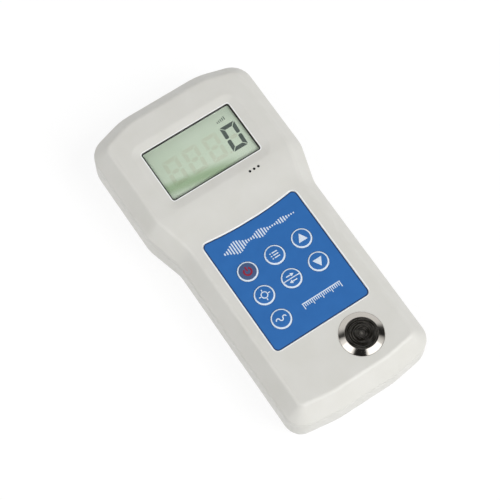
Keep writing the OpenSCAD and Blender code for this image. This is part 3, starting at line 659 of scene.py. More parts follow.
def top_outline(node: str) -> bmesh.types.BMesh:
    """Copies the outer outline of a CAD node's top face.

    Args:
        node: The node's name.

    Returns:
        A bmesh with one face that looks up.
    """
    bm = smooth_copy(node, STRIP_DEGREES)
    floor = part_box(node)[1].z - FACE_DEPTH_MM * MM
    lower = [f for f in bm.faces if f.calc_center_median().z < floor]
    bmesh.ops.delete(bm, geom=lower, context="FACES")
    found = [max(bm.verts, key=lambda v: v.co.x)]
    outline = set()
    while found:
        vert = found.pop()
        fresh = [e for e in vert.link_edges if e.is_boundary and e not in outline]
        outline.update(fresh)
        found.extend(e.other_vert(vert) for e in fresh)
    bmesh.ops.delete(bm, geom=[e for e in bm.edges if e not in outline], context="EDGES")
    bmesh.ops.contextual_create(bm, geom=bm.edges)
    for face in bm.faces:
        if face.normal.z < 0.0:
            face.normal_flip()
    return bm


def edge_strip(node: str, distances: Iterable[float], thickness: float) -> bmesh.types.BMesh:
    """Makes a strip that follows the outline of a CAD node's top face.

    Args:
        node: The node's name.
        distances: How far each line of the strip lies outside that outline, in mm, negative for inside.
        thickness: Thickness of the strip, in mm.

    Returns:
        The strip, on the top face's level.
    """
    bm = top_outline(node)
    sheet = list(bm.faces)
    rings = []
    last = 0.0
    for distance in distances:
        step = (last - distance) * MM
        made = bmesh.ops.inset_individual(bm, faces=sheet, thickness=step, use_even_offset=True)
        rings.append(made["faces"])
        last = distance
    bmesh.ops.delete(bm, geom=sheet + rings[0], context="FACES")
    rise = bmesh.ops.extrude_face_region(bm, geom=bm.faces, use_keep_orig=True)
    upper = [v for v in rise["geom"] if isinstance(v, bmesh.types.BMVert)]
    bmesh.ops.translate(bm, verts=upper, vec=(0.0, 0.0, thickness * MM))
    bmesh.ops.recalc_face_normals(bm, faces=bm.faces)
    return bm


def lay_on_shell(bm: bmesh.types.BMesh, level: float) -> None:
    """Moves a flat strip up or down onto the front shell's outside.

    Args:
        bm: The strip.
        level: Height of the strip's underside, in metres.
    """
    tree = shell_tree()
    for vert in bm.verts:
        vert.co.z += height_at(tree, vert.co.x, vert.co.y) - level


class Ink:
    """A flat layer of print, drawn in millimetres about its own centre.

    Attributes:
        step_degrees: Angle of one step of an arc.
        least_steps: Fewest steps of an arc.
        merge: Distance at which points are one, in millimetres.
        long_share: Share of a crown's radius above which an edge is cut to follow it.
        cuts: Cuts of such an edge.
        crown_power: How flat the middle of a crown is.
    """

    step_degrees: float = 6.0
    least_steps: int = 8
    merge: float = 1e-5
    long_share: float = 1 / 3
    cuts: int = 8
    crown_power: int = 4

    def __init__(self, thickness: float) -> None:
        """Starts an empty layer.

        Args:
            thickness: Thickness of the layer.
        """
        self.bm = bmesh.new()
        self.thickness = thickness

    def polygon(self, corners: Iterable[tuple[float, float]]) -> None:
        """Adds a filled polygon.

        Args:
            corners: Its corners, anticlockwise.
        """
        face = self.bm.faces.new([self.bm.verts.new((x, y, 0.0)) for x, y in corners])
        rise = bmesh.ops.extrude_face_region(self.bm, geom=[face], use_keep_orig=True)
        top = [v for v in rise["geom"] if isinstance(v, bmesh.types.BMVert)]
        bmesh.ops.translate(self.bm, verts=top, vec=(0.0, 0.0, self.thickness))
        face.normal_flip()

    def bar(self, x: float, y: float, width: float, height: float) -> None:
        """Adds an upright rectangle.

        Args:
            x: Its middle, sideways.
            y: Its middle, lengthways.
            width: Its width.
            height: Its height.
        """
        a, b = width / 2, height / 2
        self.polygon([(x - a, y - b), (x + a, y - b), (x + a, y + b), (x - a, y + b)])

    def arc(
        self, x: float, y: float, radius: float, line: float, start: float = 0.0, sweep: float = 360.0
    ) -> None:
        """Adds an arc or a ring.

        Args:
            x: Its centre, sideways.
            y: Its centre, lengthways.
            radius: Radius of the middle of its line.
            line: Width of the line.
            start: Angle of its start, in degrees.
            sweep: Angle that it turns through, in degrees.
        """
        whole = sweep >= 360.0
        low, high = radius - line / 2, radius + line / 2
        turn = Matrix.Rotation(math.radians(start), 3, "Z")
        centre = Vector((x, y, 0.0))
        section = [(low, 0.0), (high, 0.0), (high, self.thickness), (low, self.thickness)]
        verts = [self.bm.verts.new(centre + turn @ Vector((r, 0.0, z))) for r, z in section]
        edges = [self.bm.edges.new((verts[i], verts[(i + 1) % 4])) for i in range(4)]
        made = bmesh.ops.spin(
            self.bm,
            geom=verts + edges,
            cent=centre,
            axis=(0.0, 0.0, 1.0),
            angle=math.radians(min(sweep, 360.0)),
            steps=max(self.least_steps, int(sweep / self.step_degrees)),
            use_merge=whole,
        )
        if not whole:
            end = [g for g in made["geom_last"] if isinstance(g, bmesh.types.BMVert)]
            self.bm.faces.new(verts)
            self.bm.faces.new(end)

    def placed(self, centre: Vector, crown: float = 0.0, reach: float = 1.0) -> bmesh.types.BMesh:
        """Lays the print on a surface, in metres.

        Args:
            centre: Where the drawing's centre goes, in metres, at the edge of the crown.
            crown: Height of the crown under the print.
            reach: Radius at which the crown ends.

        Returns:
            The finished bmesh.
        """
        if crown > 0.0:
            long_edges = [e for e in self.bm.edges if e.calc_length() > reach * self.long_share]
            bmesh.ops.subdivide_edges(self.bm, edges=long_edges, cuts=self.cuts, use_grid_fill=True)
            for vert in self.bm.verts:
                out = min(vert.co.xy.length / reach, 1.0)
                vert.co.z += crown * (1.0 - out ** self.crown_power)
        bmesh.ops.remove_doubles(self.bm, verts=self.bm.verts, dist=self.merge)
        bmesh.ops.recalc_face_normals(self.bm, faces=self.bm.faces)
        bmesh.ops.scale(self.bm, verts=self.bm.verts, vec=(MM, MM, MM))
        bmesh.ops.translate(self.bm, verts=self.bm.verts, vec=centre)
        return self.bm


class KeyMark(Enum):
    """The sign on each key, by the key's name."""

    POWER = "power"
    LIST = "code"
    UP = "up"
    TARGET = "calibrate"
    UNITS = "unit"
    DOWN = "down"
    WAVE = "velocity"

    def draw(self, ink: Ink) -> None:
        """Draws the sign.

        Args:
            ink: The layer that takes it.
        """
        drawings = {
            KeyMark.POWER: self.draw_power,
            KeyMark.LIST: self.draw_list,
            KeyMark.UP: self.draw_triangle,
            KeyMark.TARGET: self.draw_target,
            KeyMark.UNITS: self.draw_units,
            KeyMark.DOWN: self.draw_triangle,
            KeyMark.WAVE: self.draw_wave,
        }
        drawings[self](ink)

    def draw_power(self, ink: Ink) -> None:
        """Draws an open ring with a stem in its gap.

        Args:
            ink: The layer that takes it.
        """
        radius, line, gap_degrees = 1.35, 0.7, 70.0
        stem_y, stem_w, stem_h = 1.05, 0.62, 1.8
        ink.arc(0.0, 0.0, radius, line, start=90.0 + gap_degrees / 2, sweep=360.0 - gap_degrees)
        ink.bar(0.0, stem_y, stem_w, stem_h)

    def draw_list(self, ink: Ink) -> None:
        """Draws three rows, each with a dot before it.

        Args:
            ink: The layer that takes it.
        """
        pitch, line = 1.0, 0.42
        row_x, row_w = 0.45, 2.1
        dot_x, dot_w = -1.3, 0.5
        for y in (pitch, 0.0, -pitch):
            ink.bar(row_x, y, row_w, line)
            ink.bar(dot_x, y, dot_w, line)

    def draw_triangle(self, ink: Ink) -> None:
        """Draws a triangle that points up or down.

        Args:
            ink: The layer that takes it.
        """
        half, foot, tip = 1.8, 1.15, 2.0
        if self is KeyMark.UP:
            ink.polygon([(-half, -foot), (half, -foot), (0.0, tip)])
        else:
            ink.polygon([(-half, foot), (0.0, -tip), (half, foot)])

    def draw_target(self, ink: Ink) -> None:
        """Draws a ring with four ticks round it.

        Args:
            ink: The layer that takes it.
        """
        radius, line = 1.15, 0.38
        tick_from, tick_to = 1.5, 2.2
        half = line / 2
        corners = [(tick_from, -half), (tick_to, -half), (tick_to, half), (tick_from, half)]
        ink.arc(0.0, 0.0, radius, line)
        for degrees in (0.0, 90.0, 180.0, 270.0):
            turn = Matrix.Rotation(math.radians(degrees), 2)
            ink.polygon([tuple(turn @ Vector(c)) for c in corners])

    def draw_units(self, ink: Ink) -> None:
        """Draws a rule between two arrows that point opposite ways.

        Args:
            ink: The layer that takes it.
        """
        rule_w, rule_h = 6.3, 0.34
        shaft_x, shaft_y, shaft_w, shaft_h = -0.55, 1.2, 1.9, 0.42
        head_x, head_half, tip_x = 0.35, 0.7, 1.6
        head = [(tip_x, shaft_y), (head_x, shaft_y + head_half), (head_x, shaft_y - head_half)]
        ink.bar(0.0, 0.0, rule_w, rule_h)
        for side in (1.0, -1.0):
            ink.bar(side * shaft_x, side * shaft_y, shaft_w, shaft_h)
            ink.polygon([(side * x, side * y) for x, y in head])

    def draw_wave(self, ink: Ink) -> None:
        """Draws a wave of three half rings.

        Args:
            ink: The layer that takes it.
        """
        radius, line = 0.65, 0.42
        for place, start in ((-1, 0.0), (0, 180.0), (1, 0.0)):
            ink.arc(place * 2 * radius, 0.0, radius, line, start=start, sweep=180.0)


@dataclass
class Case:
    """The moulded case: two shells, the battery door and the screws.

    Attributes:
        sharp_degrees: Least angle of an edge that stays sharp.
        film_edge: Lines of the painted highlight round the keypad film: its chamfer's foot and top, and its
            end.
        window_edge: Lines of the painted highlight outside the display's frame.
        edge_t: Thickness of a painted highlight.
    """

    sharp_degrees: float = 27.0
    film_edge: tuple[float, ...] = (0.12, 0.3, 0.6)
    window_edge: tuple[float, ...] = (0.16, 0.5)
    edge_t: float = 0.02

    def moulding(self, name: str, node: str, body: str) -> None:
        """Makes an evenly shaded copy of a shell.

        Args:
            name: The piece's name.
            node: The CAD node that it stands for.
            body: The body that it rides on.
        """
        bm = smooth_copy(node, self.sharp_degrees)
        piece = add_piece(name, bm, CASE_ABS, body, [node])
        even = piece.modifiers.new("even_shading", "WEIGHTED_NORMAL")
        even.keep_sharp = True

    def highlight_edge(self, name: str, node: str, distances: Iterable[float]) -> None:
        """Adds a painted highlight along the edge of the place that holds a part.

        Args:
            name: The piece's name.
            node: The CAD node that the place holds.
            distances: How far each line of the edge lies outside that node, in mm.
        """
        bm = edge_strip(node, distances, self.edge_t)
        lay_on_shell(bm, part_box(node)[1].z)
        add_piece(name, bm, EDGE_HIGHLIGHT, "case")

    def build(self) -> None:
        """Builds the mouldings and the painted highlights along their edges, and dresses the screws."""
        self.moulding("front_moulding", "front_shell", "case")
        self.moulding("back_moulding", "back_shell", "case")
        self.moulding("door_moulding", "battery_door", "battery_door")
        self.highlight_edge("film_place_edge", "keypad_film", self.film_edge)
        self.highlight_edge("window_place_edge", "display_frame", self.window_edge)
        dress("case_screws", ZINC)
        dress("board_screws", ZINC)


@dataclass
class Display:
    """The display: window, frame, liquid crystal cell and its segments.

    Attributes:
        sheet: Depth of the cell's face under the window, in mm.
        digit_w: Width of a digit.
        digit_h: Height of a digit.
        line: Width of a segment.
        gap: Gap between segments at a corner.
        waist: Half of the gap between an upper and a lower segment.
        blunt: Chamfer of a segment's end at that gap.
        slant: Sideways lean of a digit for its height.
        base_y: Lower edge of the digits, below the window's middle.
        columns: Middles of the digits.
        ink: Thickness of a segment.
        ledge: How far the lower sheet falls short of the upper one at either end, in mm.
        glass_edge: Bevel of the sheets' edges.
        glass_steps: Steps of that bevel.
        sharp_degrees: Least angle of an edge that stays sharp.
        point_x: Middle of the decimal point, sideways.
        point_rise: Middle of the decimal point, above the digits' lower edge.
        point_r: Radius of the middle of the point's line.
        point_line: Width of that line.
        bars: Number of signal bars.
        bars_x: Middle of the first bar, sideways.
        bars_y: Middle of the first bar, above the window's middle.
        bar_pitch: Spacing of the bars.
        bar_w: Width of a bar.
        bar_h: Height of the first bar.
        bar_growth: How much higher each bar is than the one before.
    """

    sheet: float = 0.06
    digit_w: float = 6.1
    digit_h: float = 10.5
    line: float = 1.5
    gap: float = 0.22
    waist: float = 0.3
    blunt: float = 0.35
    slant: float = 0.06
    base_y: float = -6.25
    columns: tuple[float, ...] = (-11.3, -3.2, 5.2, 13.2)
    ink: float = 0.02
    ledge: float = 2.2
    glass_edge: float = 0.08
    glass_steps: int = 2
    sharp_degrees: float = 35.0
    point_x: float = 9.0
    point_rise: float = 0.5
    point_r: float = 0.25
    point_line: float = 0.4
    bars: int = 5
    bars_x: float = 11.2
    bars_y: float = 6.6
    bar_pitch: float = 0.75
    bar_w: float = 0.32
    bar_h: float = 0.7
    bar_growth: float = 0.2

    def cell(self) -> float:
        """Builds the two sheets of the liquid crystal cell.

        Returns:
            Height of the cell's face, in metres.
        """
        low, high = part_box("lcd_panel")
        face = high.z - self.sheet * MM
        half = (high.z - low.z) / 2
        bm = bmesh.new()
        for bottom, top, inset in ((low.z, low.z + half, self.ledge * MM), (low.z + half, face, 0.0)):
            size = Vector((high.x - low.x, high.y - low.y - 2 * inset, top - bottom))
            place = Vector((0.0, (low.y + high.y) / 2, (bottom + top) / 2))
            matrix = Matrix.Translation(place) @ Matrix.Diagonal(size.to_4d())
            made = bmesh.ops.create_cube(bm, size=1.0, matrix=matrix)
            edges = list({e for v in made["verts"] for e in v.link_edges})
            bmesh.ops.bevel(
                bm,
                geom=edges,
                offset=self.glass_edge * MM,
                segments=self.glass_steps,
                profile=0.5,
                affect="EDGES",
                material=-1,
            )
        shade_by_angle(bm, self.sharp_degrees)
        crystal = replace(CRYSTAL, mid_y_mm=(low.y + high.y) / 2 / MM)
        add_piece("liquid_crystal_cell", bm, crystal, "case", ["lcd_panel"])
        return face

    def segments(self, ink: Ink, column: float, names: str) -> None:
        """Draws segments of one digit.

        Args:
            ink: The layer that takes them.
            column: Middle of the digit.
            names: Letters from a to g.
        """
        w, h, t, g = self.digit_w / 2, self.digit_h, self.line, self.gap
        half, end, cut = h / 2, self.waist - h / 2, self.blunt
        flat = [(-w + g, 0.0), (w - g, 0.0), (w - t - g / 2, -t), (-w + t + g / 2, -t)]
        side = [
            (w, -g),
            (w, end + cut),
            (w - cut, end),
            (w - t + cut, end),
            (w - t, end + cut),
            (w - t, -t - g),
        ]
        tip, root = w - t, w - t - t / 2
        middle = [(-tip, 0.0), (-root, t / 2), (root, t / 2), (tip, 0.0), (root, -t / 2), (-root, -t / 2)]
        shapes = {
            "a": [(x, h + y) for x, y in flat],
            "d": [(x, -y) for x, y in flat],
            "b": [(x, h + y) for x, y in side],
            "c": [(x, -y) for x, y in side],
            "f": [(-x, h + y) for x, y in side],
            "e": [(-x, -y) for x, y in side],
            "g": [(x, half + y) for x, y in middle],
        }
        for name in names:
            ink.polygon([(column + x + (y - half) * self.slant, self.base_y + y) for x, y in shapes[name]])

    def build(self) -> None:
        """Builds the cell and its segments, and dresses the window, frame and strips."""
        face = self.cell()
        low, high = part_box("display_window")
        centre = Vector((0.0, (low.y + high.y) / 2, face))
        digit = Ink(self.ink)
        self.segments(digit, self.columns[-1], "abcdef")
        add_piece("digit_shown", digit.placed(centre), DRIVEN, "case")
        resting = Ink(self.ink / 2)
        for column in self.columns[:-1]:
            self.segments(resting, column, "abcdefg")
        self.segments(resting, self.columns[-1], "g")
        resting.arc(self.point_x, self.base_y + self.point_rise, self.point_r, self.point_line)
        faint = replace(RESTING, mid_y_mm=centre.y / MM)
        add_piece("digits_resting", resting.placed(centre), faint, "case")
        bars = Ink(self.ink)
        for i in range(self.bars):
            grown = i * self.bar_growth
            bars.bar(
                self.bars_x + i * self.bar_pitch, self.bars_y + grown / 2, self.bar_w, self.bar_h + grown
            )
        add_piece("signal_bars", bars.placed(centre), DRIVEN, "case")
        dress("display_window", CLEAR_ACRYLIC)
        dress("display_frame", BLACK_ABS)
        dress("contact_strip_upper", STRIP_RUBBER)
        dress("contact_strip_lower", STRIP_RUBBER)


@dataclass
class Keypad:
    """The keypad film, its keys and the print on both.

    Attributes:
        ring_r: Radius of the ring round a key.
        ring_line: Width of that ring.
        ring_shift: How far the ring's inner edge sits above its outer one, which makes it bolder below.
        edge_line: Width of the painted shadow line inside the film's edge.
        trace_drop: Middle of the echo trace, below the film's upper edge.
        scale_x: Middle of the tick scale, sideways.
        scale_rise: Middle of the tick scale, above the film's lower edge.
        ink: Thickness of the print.
        crown: Height of a key's crown.
        crown_r: Radius at which the crown ends.
        sharp_degrees: Least angle of an edge that stays sharp.
        bars: Number of bars in the echo trace.
        bars_x: Middle of the first bar, sideways.
        bar_pitch: Spacing of the bars.
        bar_w: Width of a bar.
        bar_h: Height of a bar between the echoes.
        swing: How much higher the first echo is.
        echoes: Middle and spread of each echo, in bars, and its share of the swing.
        rail_y: Middle of the tick scale's rail.
        rail_w: Length of the rail.
        rail_h: Width of the rail's line.
        ticks: Number of ticks.
        tick_pitch: Spacing of the ticks.
        tick_w: Width of a tick.
        tick_short: Length of most ticks.
        tick_long: Length of the longer ticks.
        long_every: Which ticks are longer.
    """

    ring_r: float = 3.44
    ring_line: float = 0.52
    ring_shift: float = 0.11
    edge_line: float = 0.34
    trace_drop: float = 7.05
    scale_x: float = 5.35
    scale_rise: float = 8.35
    ink: float = 0.03
    crown: float = 0.25
    crown_r: float = 3.63
    sharp_degrees: float = 30.0
    bars: int = 30
    bars_x: float = -14.3
    bar_pitch: float = 0.986
    bar_w: float = 0.5
    bar_h: float = 0.5
    swing: float = 4.6
    echoes: tuple[tuple[float, float, float], ...] = ((5.0, 3.2, 1.0), (15.0, 2.6, 0.62), (24.0, 2.2, 0.36))
    rail_y: float = 1.2
    rail_w: float = 15.7
    rail_h: float = 0.36
    ticks: int = 21
    tick_pitch: float = 0.76
    tick_w: float = 0.34
    tick_short: float = 1.2
    tick_long: float = 2.0
    long_every: int = 5

    def key(self, mark: KeyMark) -> None:
        """Builds a key and prints its ring and sign.

        Args:
            mark: The key's sign.
        """
        node = f"key_{mark.value}"
        low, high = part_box(node)
        centre = Vector(((low.x + high.x) / 2, (low.y + high.y) / 2, high.z - self.crown * MM))
        film = SLATE_FILM if mark is KeyMark.POWER else BLUE_FILM
        bm = smooth_copy(node, self.sharp_degrees)
        add_piece(f"key_pad_{mark.value}", bm, film, node, [node])
        ring = Ink(self.ink)
        ring.arc(0.0, 0.0, self.ring_r, self.ring_line)
        inner = [v for v in ring.bm.verts if v.co.xy.length < self.ring_r]
        bmesh.ops.translate(ring.bm, verts=inner, vec=(0.0, self.ring_shift, 0.0))
        bm = ring.placed(centre, self.crown, self.crown_r)
        add_piece(f"ring_{mark.value}", bm, WHITE_INK, node)
        sign = Ink(self.ink)
        mark.draw(sign)
        bm = sign.placed(centre, self.crown, self.crown_r)
        finish = RED_INK if mark is KeyMark.POWER else WHITE_INK
        add_piece(f"sign_{mark.value}", bm, finish, node)

    def echo_trace(self, top: float) -> None:
        """Prints a row of upright bars, as an echo that dies away.

        Args:
            top: Height of the film's face, in metres.
        """
        ink = Ink(self.ink)
        for i in range(self.bars):
            swell = sum(share * math.exp(-((i - at) / spread) ** 2) for at, spread, share in self.echoes)
            ink.bar(self.bars_x + i * self.bar_pitch, 0.0, self.bar_w, self.bar_h + self.swing * swell)
        place = Vector((0.0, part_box("keypad_film")[1].y - self.trace_drop * MM, top))
        add_piece("echo_bars", ink.placed(place), WHITE_INK, "case")

    def tick_scale(self, top: float) -> None:
        """Prints a plain scale with longer ticks at every fifth place.

        Args:
            top: Height of the film's face, in metres.
        """
        ink = Ink(self.ink)
        ink.bar(0.0, self.rail_y, self.rail_w, self.rail_h)
        foot = self.rail_y - self.rail_h / 2
        for i in range(self.ticks):
            length = self.tick_long if i % self.long_every == 0 else self.tick_short
            x = (i - (self.ticks - 1) / 2) * self.tick_pitch
            ink.bar(x, foot - length / 2, self.tick_w, length)
        place = Vector((self.scale_x * MM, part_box("keypad_film")[0].y + self.scale_rise * MM, top))
        add_piece("tick_scale", ink.placed(place), WHITE_INK, "case")

    def build(self) -> None:
        """Builds the print and the painted shadow line inside the film's edge, and dresses the film, the keys
        and their switches.
        """
        dress("keypad_film", BLUE_FILM)
        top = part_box("keypad_film")[1].z
        for mark in KeyMark:
            self.key(mark)
            dress(f"switch_{mark.value}", EPOXY)
        # A navy line inside the film's edge: painted shadow of the recess wall
        line = edge_strip("keypad_film", (0.0, -self.edge_line), self.ink)
        add_piece("film_edge_line", line, FILM_EDGE_SHADOW, "case")
        self.echo_trace(top)
        self.tick_scale(top)


@dataclass
class TestBlock:
    """The steel test block.

    Attributes:
        face_d: Diameter of its turned face.
        bevel_h: Height of its polished bevel.
        edge: Rounding of its edges.
        edge_steps: Steps of that rounding.
        steps: Steps round its axis.
        rim_degrees: Least angle of an edge that is rounded.
        sharp_degrees: Least angle of an edge that stays sharp.
    """

    face_d: float = 11.6
    bevel_h: float = 1.0
    edge: float = 0.14
    edge_steps: int = 3
    steps: int = 128
    rim_degrees: float = 15.0
    sharp_degrees: float = 20.0

    def build(self) -> None:
        """Turns the block's profile about its axis and rounds the edges."""
        low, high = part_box("test_block")
        axis = Vector(((low.x + high.x) / 2, (low.y + high.y) / 2, 0.0))
        radius = (high.x - low.x) / 2
        profile = [
            (0.0, low.z),
            (radius, low.z),
            (radius, high.z - self.bevel_h * MM),
            (self.face_d / 2 * MM, high.z),
            (0.0, high.z),
        ]
        bm = bmesh.new()
        verts = [bm.verts.new(axis + Vector((r, 0.0, z))) for r, z in profile]
        edges = [bm.edges.new(pair) for pair in zip(verts, verts[1:])]
        bmesh.ops.spin(
            bm,
            geom=verts + edges,
            cent=axis,
            axis=(0.0, 0.0, 1.0),
            angle=math.tau,
            steps=self.steps,
            use_merge=True,
        )
        bmesh.ops.remove_doubles(bm, verts=bm.verts, dist=MERGE_M)
        bmesh.ops.recalc_face_normals(bm, faces=bm.faces)
        rims = [e for e in bm.edges if e.calc_face_angle(0.0) > math.radians(self.rim_degrees)]
        rims = [e for e in rims if (e.verts[0].co - axis).xy.length > self.face_d / 4 * MM]
        bmesh.ops.bevel(
            bm,
            geom=rims,
            offset=self.edge * MM,
            segments=self.edge_steps,
            profile=0.5,
            affect="EDGES",
            material=-1,
        )
        shade_by_angle(bm, self.sharp_degrees)
        steel = replace(TEST_STEEL, x_mm=axis.x / MM, y_mm=axis.y / MM, face_r_mm=self.face_d / 2)
        piece = add_piece("test_piece", bm, steel, "case", ["test_block"])
        even = piece.modifiers.new("even_shading", "WEIGHTED_NORMAL")
        even.keep_sharp = True


@dataclass
class ProbeSockets:
    """The two coaxial sockets in the display end.

    Attributes:
        sharp_degrees: Least angle of an edge that stays sharp.
    """

    sharp_degrees: float = 25.0

    def build(self) -> None:
        """Builds the sockets' shells and dresses what they hold."""
        for side in ("right", "left"):
            bm = smooth_copy(f"probe_socket_{side}", self.sharp_degrees)
            add_piece(f"socket_shell_{side}", bm, NICKEL, "case", [f"probe_socket_{side}"])
            dress(f"socket_insulator_{side}", PTFE)
            dress(f"socket_pin_{side}", GOLD)
            dress(f"probe_lead_{side}", LEAD_SLEEVE)
        dress("socket_nuts", NICKEL)


@dataclass
class BatteryPack:
    """Four round cells with their coils and plates.

    Attributes:
        cells: Number of cells.
        plates: Number of contact plates.
        band: Length of the coloured band at a cell's nub end.
        sharp_degrees: Least angle of an edge that stays sharp.
    """

    cells: int = 4
    plates: int = 5
    band: float = 12.0
    sharp_degrees: float = 25.0

    def build(self) -> None:
        """Builds the cells and dresses the contacts."""
        for i in range(1, self.cells + 1):
            bm = smooth_copy(f"battery_cell_{i}", self.sharp_degrees)
            low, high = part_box(f"battery_cell_{i}")
            if i % 2 == 0:
                finish = replace(SLEEVE_UP, band_y_mm=high.y / MM - self.band)
            else:
                finish = replace(SLEEVE_DOWN, band_y_mm=low.y / MM + self.band)
            add_piece(f"cell_sleeve_{i}", bm, finish, "case", [f"battery_cell_{i}"])
            dress(f"coil_contact_{i}", SPRING)
        for i in range(1, self.plates + 1):
            dress(f"contact_plate_{i}", NICKEL)


@dataclass
class Electronics:
    """The board and the parts that it carries, with black gauze over the sound transducer that also paints
    the shade in the sound holes.

    Attributes:
        holes: Number of sound holes.
        pitch: Spacing of the sound holes.
        drop: Middle hole, below the window's middle.
        disc_d: Diameter of the gauze in a hole.
        disc_t: Thickness of the gauze.
        disc_steps: Steps round the gauze.
        depth: Depth of the gauze in its hole.
        sharp_degrees: Least angle of an edge that stays sharp.
    """

    holes: int = 3
    pitch: float = 1.77
    drop: float = 16.25
    disc_d: float = 0.98
    disc_t: float = 0.3
    disc_steps: int = 32
    depth: float = 0.15
    sharp_degrees: float = 40.0

    def shade_pads(self) -> None:
        """Sets a near-black pad of gauze into each sound hole, as painted shade of the hole's depth."""
        low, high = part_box("buzzer")
        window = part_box("display_window")
        x = (low.x + high.x) / 2
        y = (window[0].y + window[1].y) / 2 - self.drop * MM
        face = height_at(shell_tree(), x, y + self.pitch * MM)
        bm = bmesh.new()
        for i in range(self.holes):
            place = Vector((x + (i - (self.holes - 1) / 2) * self.pitch * MM, y, face - self.depth * MM))
            disc = bmesh.ops.create_circle(
                bm,
                cap_ends=True,
                segments=self.disc_steps,
                radius=self.disc_d / 2 * MM,
                matrix=Matrix.Translation(place),
            )
            upper = disc["verts"][0].link_faces[:]
            rise = bmesh.ops.extrude_face_region(bm, geom=upper, use_keep_orig=True)
            lower = [v for v in rise["geom"] if isinstance(v, bmesh.types.BMVert)]
            bmesh.ops.translate(bm, verts=lower, vec=(0.0, 0.0, -self.disc_t * MM))
        bmesh.ops.recalc_face_normals(bm, faces=bm.faces)
        shade_by_angle(bm, self.sharp_degrees)
        add_piece("sound_gauze", bm, GAUZE_AND_SHADE, "case")

    def build(self) -> None:
        """Adds the gauze that paints the holes' shade, and dresses the board and its parts."""
        self.shade_pads()
        dress("main_board", LAMINATE)
        dress("controller_chip", EPOXY)
        dress("buzzer", EPOXY)
        dress("clock_crystal", NICKEL)
        dress("pulse_transformer", FERRITE)
        dress("reservoir_capacitor", SHRINK_SLEEVE)


@dataclass(frozen=True)
class Softbox:
    """A square lamp that points at the gauge.

    Attributes:
        name: The lamp's name.
        toward: Direction from the gauge to the lamp.
        distance: Distance of the lamp, in metres.
        side: Side of the lamp, in metres.
        share: Light that it gives a surface that faces it, where 1 renders a colour as written.
        mirrored: Whether shiny surfaces show it.
        spared: Pieces that it doesn't light, because they mirror the room's soft glow in its place.
    """

    name: str
    toward: tuple[float, float, float]
    distance: float
    side: float
    share: float
    mirrored: bool = True
    spared: tuple[str, ...] = ()

    def spare(self, holder: bpy.types.Object) -> None:
        """Keeps the lamp's light off the spared pieces.

        Args:
            holder: The lamp's object.
        """
        group = bpy.data.collections.new(f"{self.name}_spared")
        for name in self.spared:
            group.objects.link(bpy.data.objects[name])
        for entry in group.collection_objects:
            entry.light_linking.link_state = "EXCLUDE"
        holder.light_linking.receiver_collection = group

    def build(self) -> None:
        """Adds the lamp."""
        lamp = bpy.data.lights.new(self.name, "AREA")
        lamp.shape = "SQUARE"
        lamp.size = self.side
        lamp.energy = self.share * (math.pi * self.distance) ** 2
        holder = bpy.data.objects.new(self.name, lamp)
        way = Vector(self.toward).normalized()
        holder.location = way * self.distance
        holder.rotation_euler = way.to_track_quat("Z", "Y").to_euler()
        holder.visible_glossy = self.mirrored
        bpy.context.scene.collection.objects.link(holder)
        if self.spared:
            self.spare(holder)


@dataclass(frozen=True)
class Glow:
    """A soft round patch of light that shiny surfaces show in the room.

    Attributes:
        toward: Direction of its middle.
        full: Angle round its middle in which it is even, in degrees.
        end: Angle at which it ends, in degrees.
        strength: Light in its middle, where 1 is white.
    """

    toward: tuple[float, float, float]
    full: float
    end: float
    strength: float = 1.0

    def light(self, tree: bpy.types.NodeTree, way: bpy.types.NodeSocket) -> bpy.types.NodeSocket:
        """Gives the light of the patch.

        Args:
            tree: The world's node tree.
            way: Direction that a ray leaves in.

        Returns:
            A socket with the light in that direction.
        """
        middle = Vector(self.toward).normalized()
        near = add_node(tree, "ShaderNodeVectorMath", {0: way, 1: middle}, operation="DOT_PRODUCT")
        return add_node(
            tree,
            "ShaderNodeMapRange",
            {
                "Value": near.outputs["Value"],
                "From Min": math.cos(math.radians(self.end)),
                "From Max": math.cos(math.radians(self.full)),
                "To Min": 0.0,
                "To Max": self.strength,
            },
        ).outputs["Result"]


